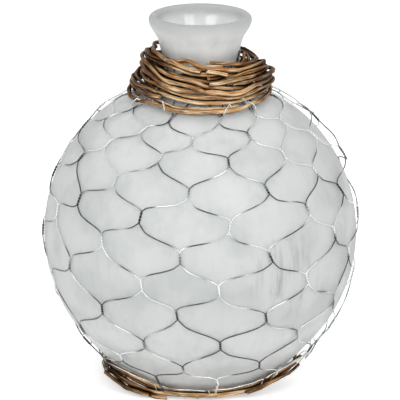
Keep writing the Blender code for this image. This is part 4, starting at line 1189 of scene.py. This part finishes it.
def make_base_ring(materials):
    """The base ring's twigs, which lie on the netting round the flank and pile outwards."""

    def seat(height, extra, radius, depth):
        height = np.maximum(height, radius + 0.1)
        seats = np.column_stack((ring_seat(height * MM) / MM, height))
        return seats, np.broadcast_to((1.0, 0.0), seats.shape), extra - depth

    make_winding("base", RING_TWIGS, 40, 140, seat, materials)


def make_tie_wire(material):
    """The tie wire round the neck, over the netting and under the collar: a helix."""
    turned = np.linspace(0.0, TIE_TURNS, TIE_STEPS)
    height = WAIST_HEIGHT + TIE_RISE + TIE_PITCH * turned
    radius, _ = beside_glass(reach_at_height(height), TIE_LIFT)
    path = place(TIE_START + 2 * math.pi * turned, radius, height)
    make_wire("tie_wire", path, material, ("neck_tie_wire",))


# Stage

CAMERA_ELEVATION = math.radians(17.0)
CAMERA_DISTANCE = 2.678
CAMERA_CENTRE_HEIGHT = 0.112  # of the point that the distance and the elevation start from
LENS = 318.15  # mm, on a sensor this wide
SENSOR = 36.0
AIM = (-0.0002, 0.0, 0.1357)
FLOOR_RADIUS = 3.0
FLOOR_SIDES = 64
FLOOR_WHITE = 0.96
FLOOR_LIFT = 0.45
# Azimuth and elevation from the vase, width and height as seen from it, degrees, and strength
SOFTBOXES = ((-33.0, 24.0, 28.0, 19.0, 4.4), (33.0, 24.0, 26.0, 19.0, 4.5))
SOFTBOX_DISTANCE = 1.6
SOFTBOX_AIM_HEIGHT = 0.25
SKY_STRENGTH = 0.72


def look_at(item, target):
    """Turn a camera or lamp so that its -Z axis points at the target."""
    item.rotation_euler = (Vector(target) - item.location).to_track_quat("-Z", "Y").to_euler()


def make_camera():
    """The camera, at the height and distance the photograph was taken from."""
    data = bpy.data.cameras.new("camera")
    data.sensor_width = SENSOR
    data.lens = LENS
    camera = bpy.data.objects.new("camera", data)
    bpy.context.collection.objects.link(camera)
    camera.location = (
        0.0,
        -CAMERA_DISTANCE * math.cos(CAMERA_ELEVATION),
        CAMERA_CENTRE_HEIGHT + CAMERA_DISTANCE * math.sin(CAMERA_ELEVATION),
    )
    look_at(camera, AIM)
    bpy.context.scene.camera = camera


def seen(tree):
    """1 for rays from the camera, off a mirror or through glass, and 0 for all others."""
    path = add_node(tree, "LightPath", {})
    either = {"operation": "MAXIMUM"}
    direct = add_node(tree, "Math", either, (path["Is Camera Ray"], path["Is Glossy Ray"]))[0]
    return add_node(tree, "Math", either, (direct, path["Is Transmission Ray"]))[0]


def make_lights():
    """Two softboxes before the vase and a soft sky. The sky is white to the camera, to mirrors and
    through glass, and dimmer where it lights the vase."""
    for index, (azimuth, elevation, wide, high, strength) in enumerate(SOFTBOXES):
        data = bpy.data.lights.new(f"softbox_{index + 1}", "AREA")
        data.shape = "RECTANGLE"
        data.size = 2 * SOFTBOX_DISTANCE * math.tan(math.radians(wide / 2))
        data.size_y = 2 * SOFTBOX_DISTANCE * math.tan(math.radians(high / 2))
        data.energy = strength * math.pi * data.size * data.size_y
        lamp = bpy.data.objects.new(f"softbox_{index + 1}", data)
        bpy.context.collection.objects.link(lamp)
        a, e = math.radians(azimuth), math.radians(elevation)
        lamp.location = (
            SOFTBOX_DISTANCE * math.cos(e) * math.sin(a),
            -SOFTBOX_DISTANCE * math.cos(e) * math.cos(a),
            SOFTBOX_AIM_HEIGHT + SOFTBOX_DISTANCE * math.sin(e),
        )
        look_at(lamp, (0.0, 0.0, SOFTBOX_AIM_HEIGHT))
    world = bpy.data.worlds.new("studio")
    bpy.context.scene.world = world
    world.use_nodes = True
    tree = world.node_tree
    strength = add_node(tree, "MapRange", EASED, (seen(tree), 0.0, 1.0, SKY_STRENGTH, 1.0))[0]
    fill_in(tree, tree.nodes["Background"], {"Color": WHITE, "Strength": strength})


def make_floor():
    """A plain white floor: matt, and lifted a little for the camera, mirrors and glass, so that it
    reads as the white background and still takes the vase's shadow."""
    turn = full_turn(FLOOR_SIDES)
    rim = np.column_stack((np.cos(turn), np.sin(turn), np.zeros(FLOOR_SIDES))) * FLOOR_RADIUS
    mesh = bpy.data.meshes.new("floor")
    mesh.from_pydata(rim.tolist(), [], [list(range(FLOOR_SIDES))])
    material, tree, shader = new_material("matt_white_board")
    lifted = add_node(tree, "MapRange", EASED, (seen(tree), 0.0, 1.0, 0.0, FLOOR_LIFT))[0]
    looks = {
        "Base Color": (FLOOR_WHITE, FLOOR_WHITE, FLOOR_WHITE, 1.0),
        "Roughness": 1.0,
        "Specular IOR Level": 0.0,
        "Emission Color": WHITE,
        "Emission Strength": lifted,
    }
    fill_in(tree, shader, looks)
    mesh.materials.append(material)
    floor = bpy.data.objects.new("floor", mesh)
    bpy.context.collection.objects.link(floor)


def main():
    """Dress the vase and set the stage."""
    wire = galvanised_wire("galvanised_netting_wire", 0.44, 0.60)
    hem = galvanised_wire("galvanised_hem_wire", 0.32, 0.50)
    willow = (willow_bark(), cut_willow())
    make_glass(satin_glass("satin_etched_glass", True), satin_glass("blown_glass_inside", False))
    for index in range(WIRE_COUNT):
        make_net_wire(index, wire)
    make_hem_wire(hem)
    make_tie_wire(wire)
    make_collar(willow)
    make_strands(hem)
    make_base_ring(willow)
    make_camera()
    make_lights()
    make_floor()
    bpy.context.scene.view_settings.view_transform = "Standard"


main()
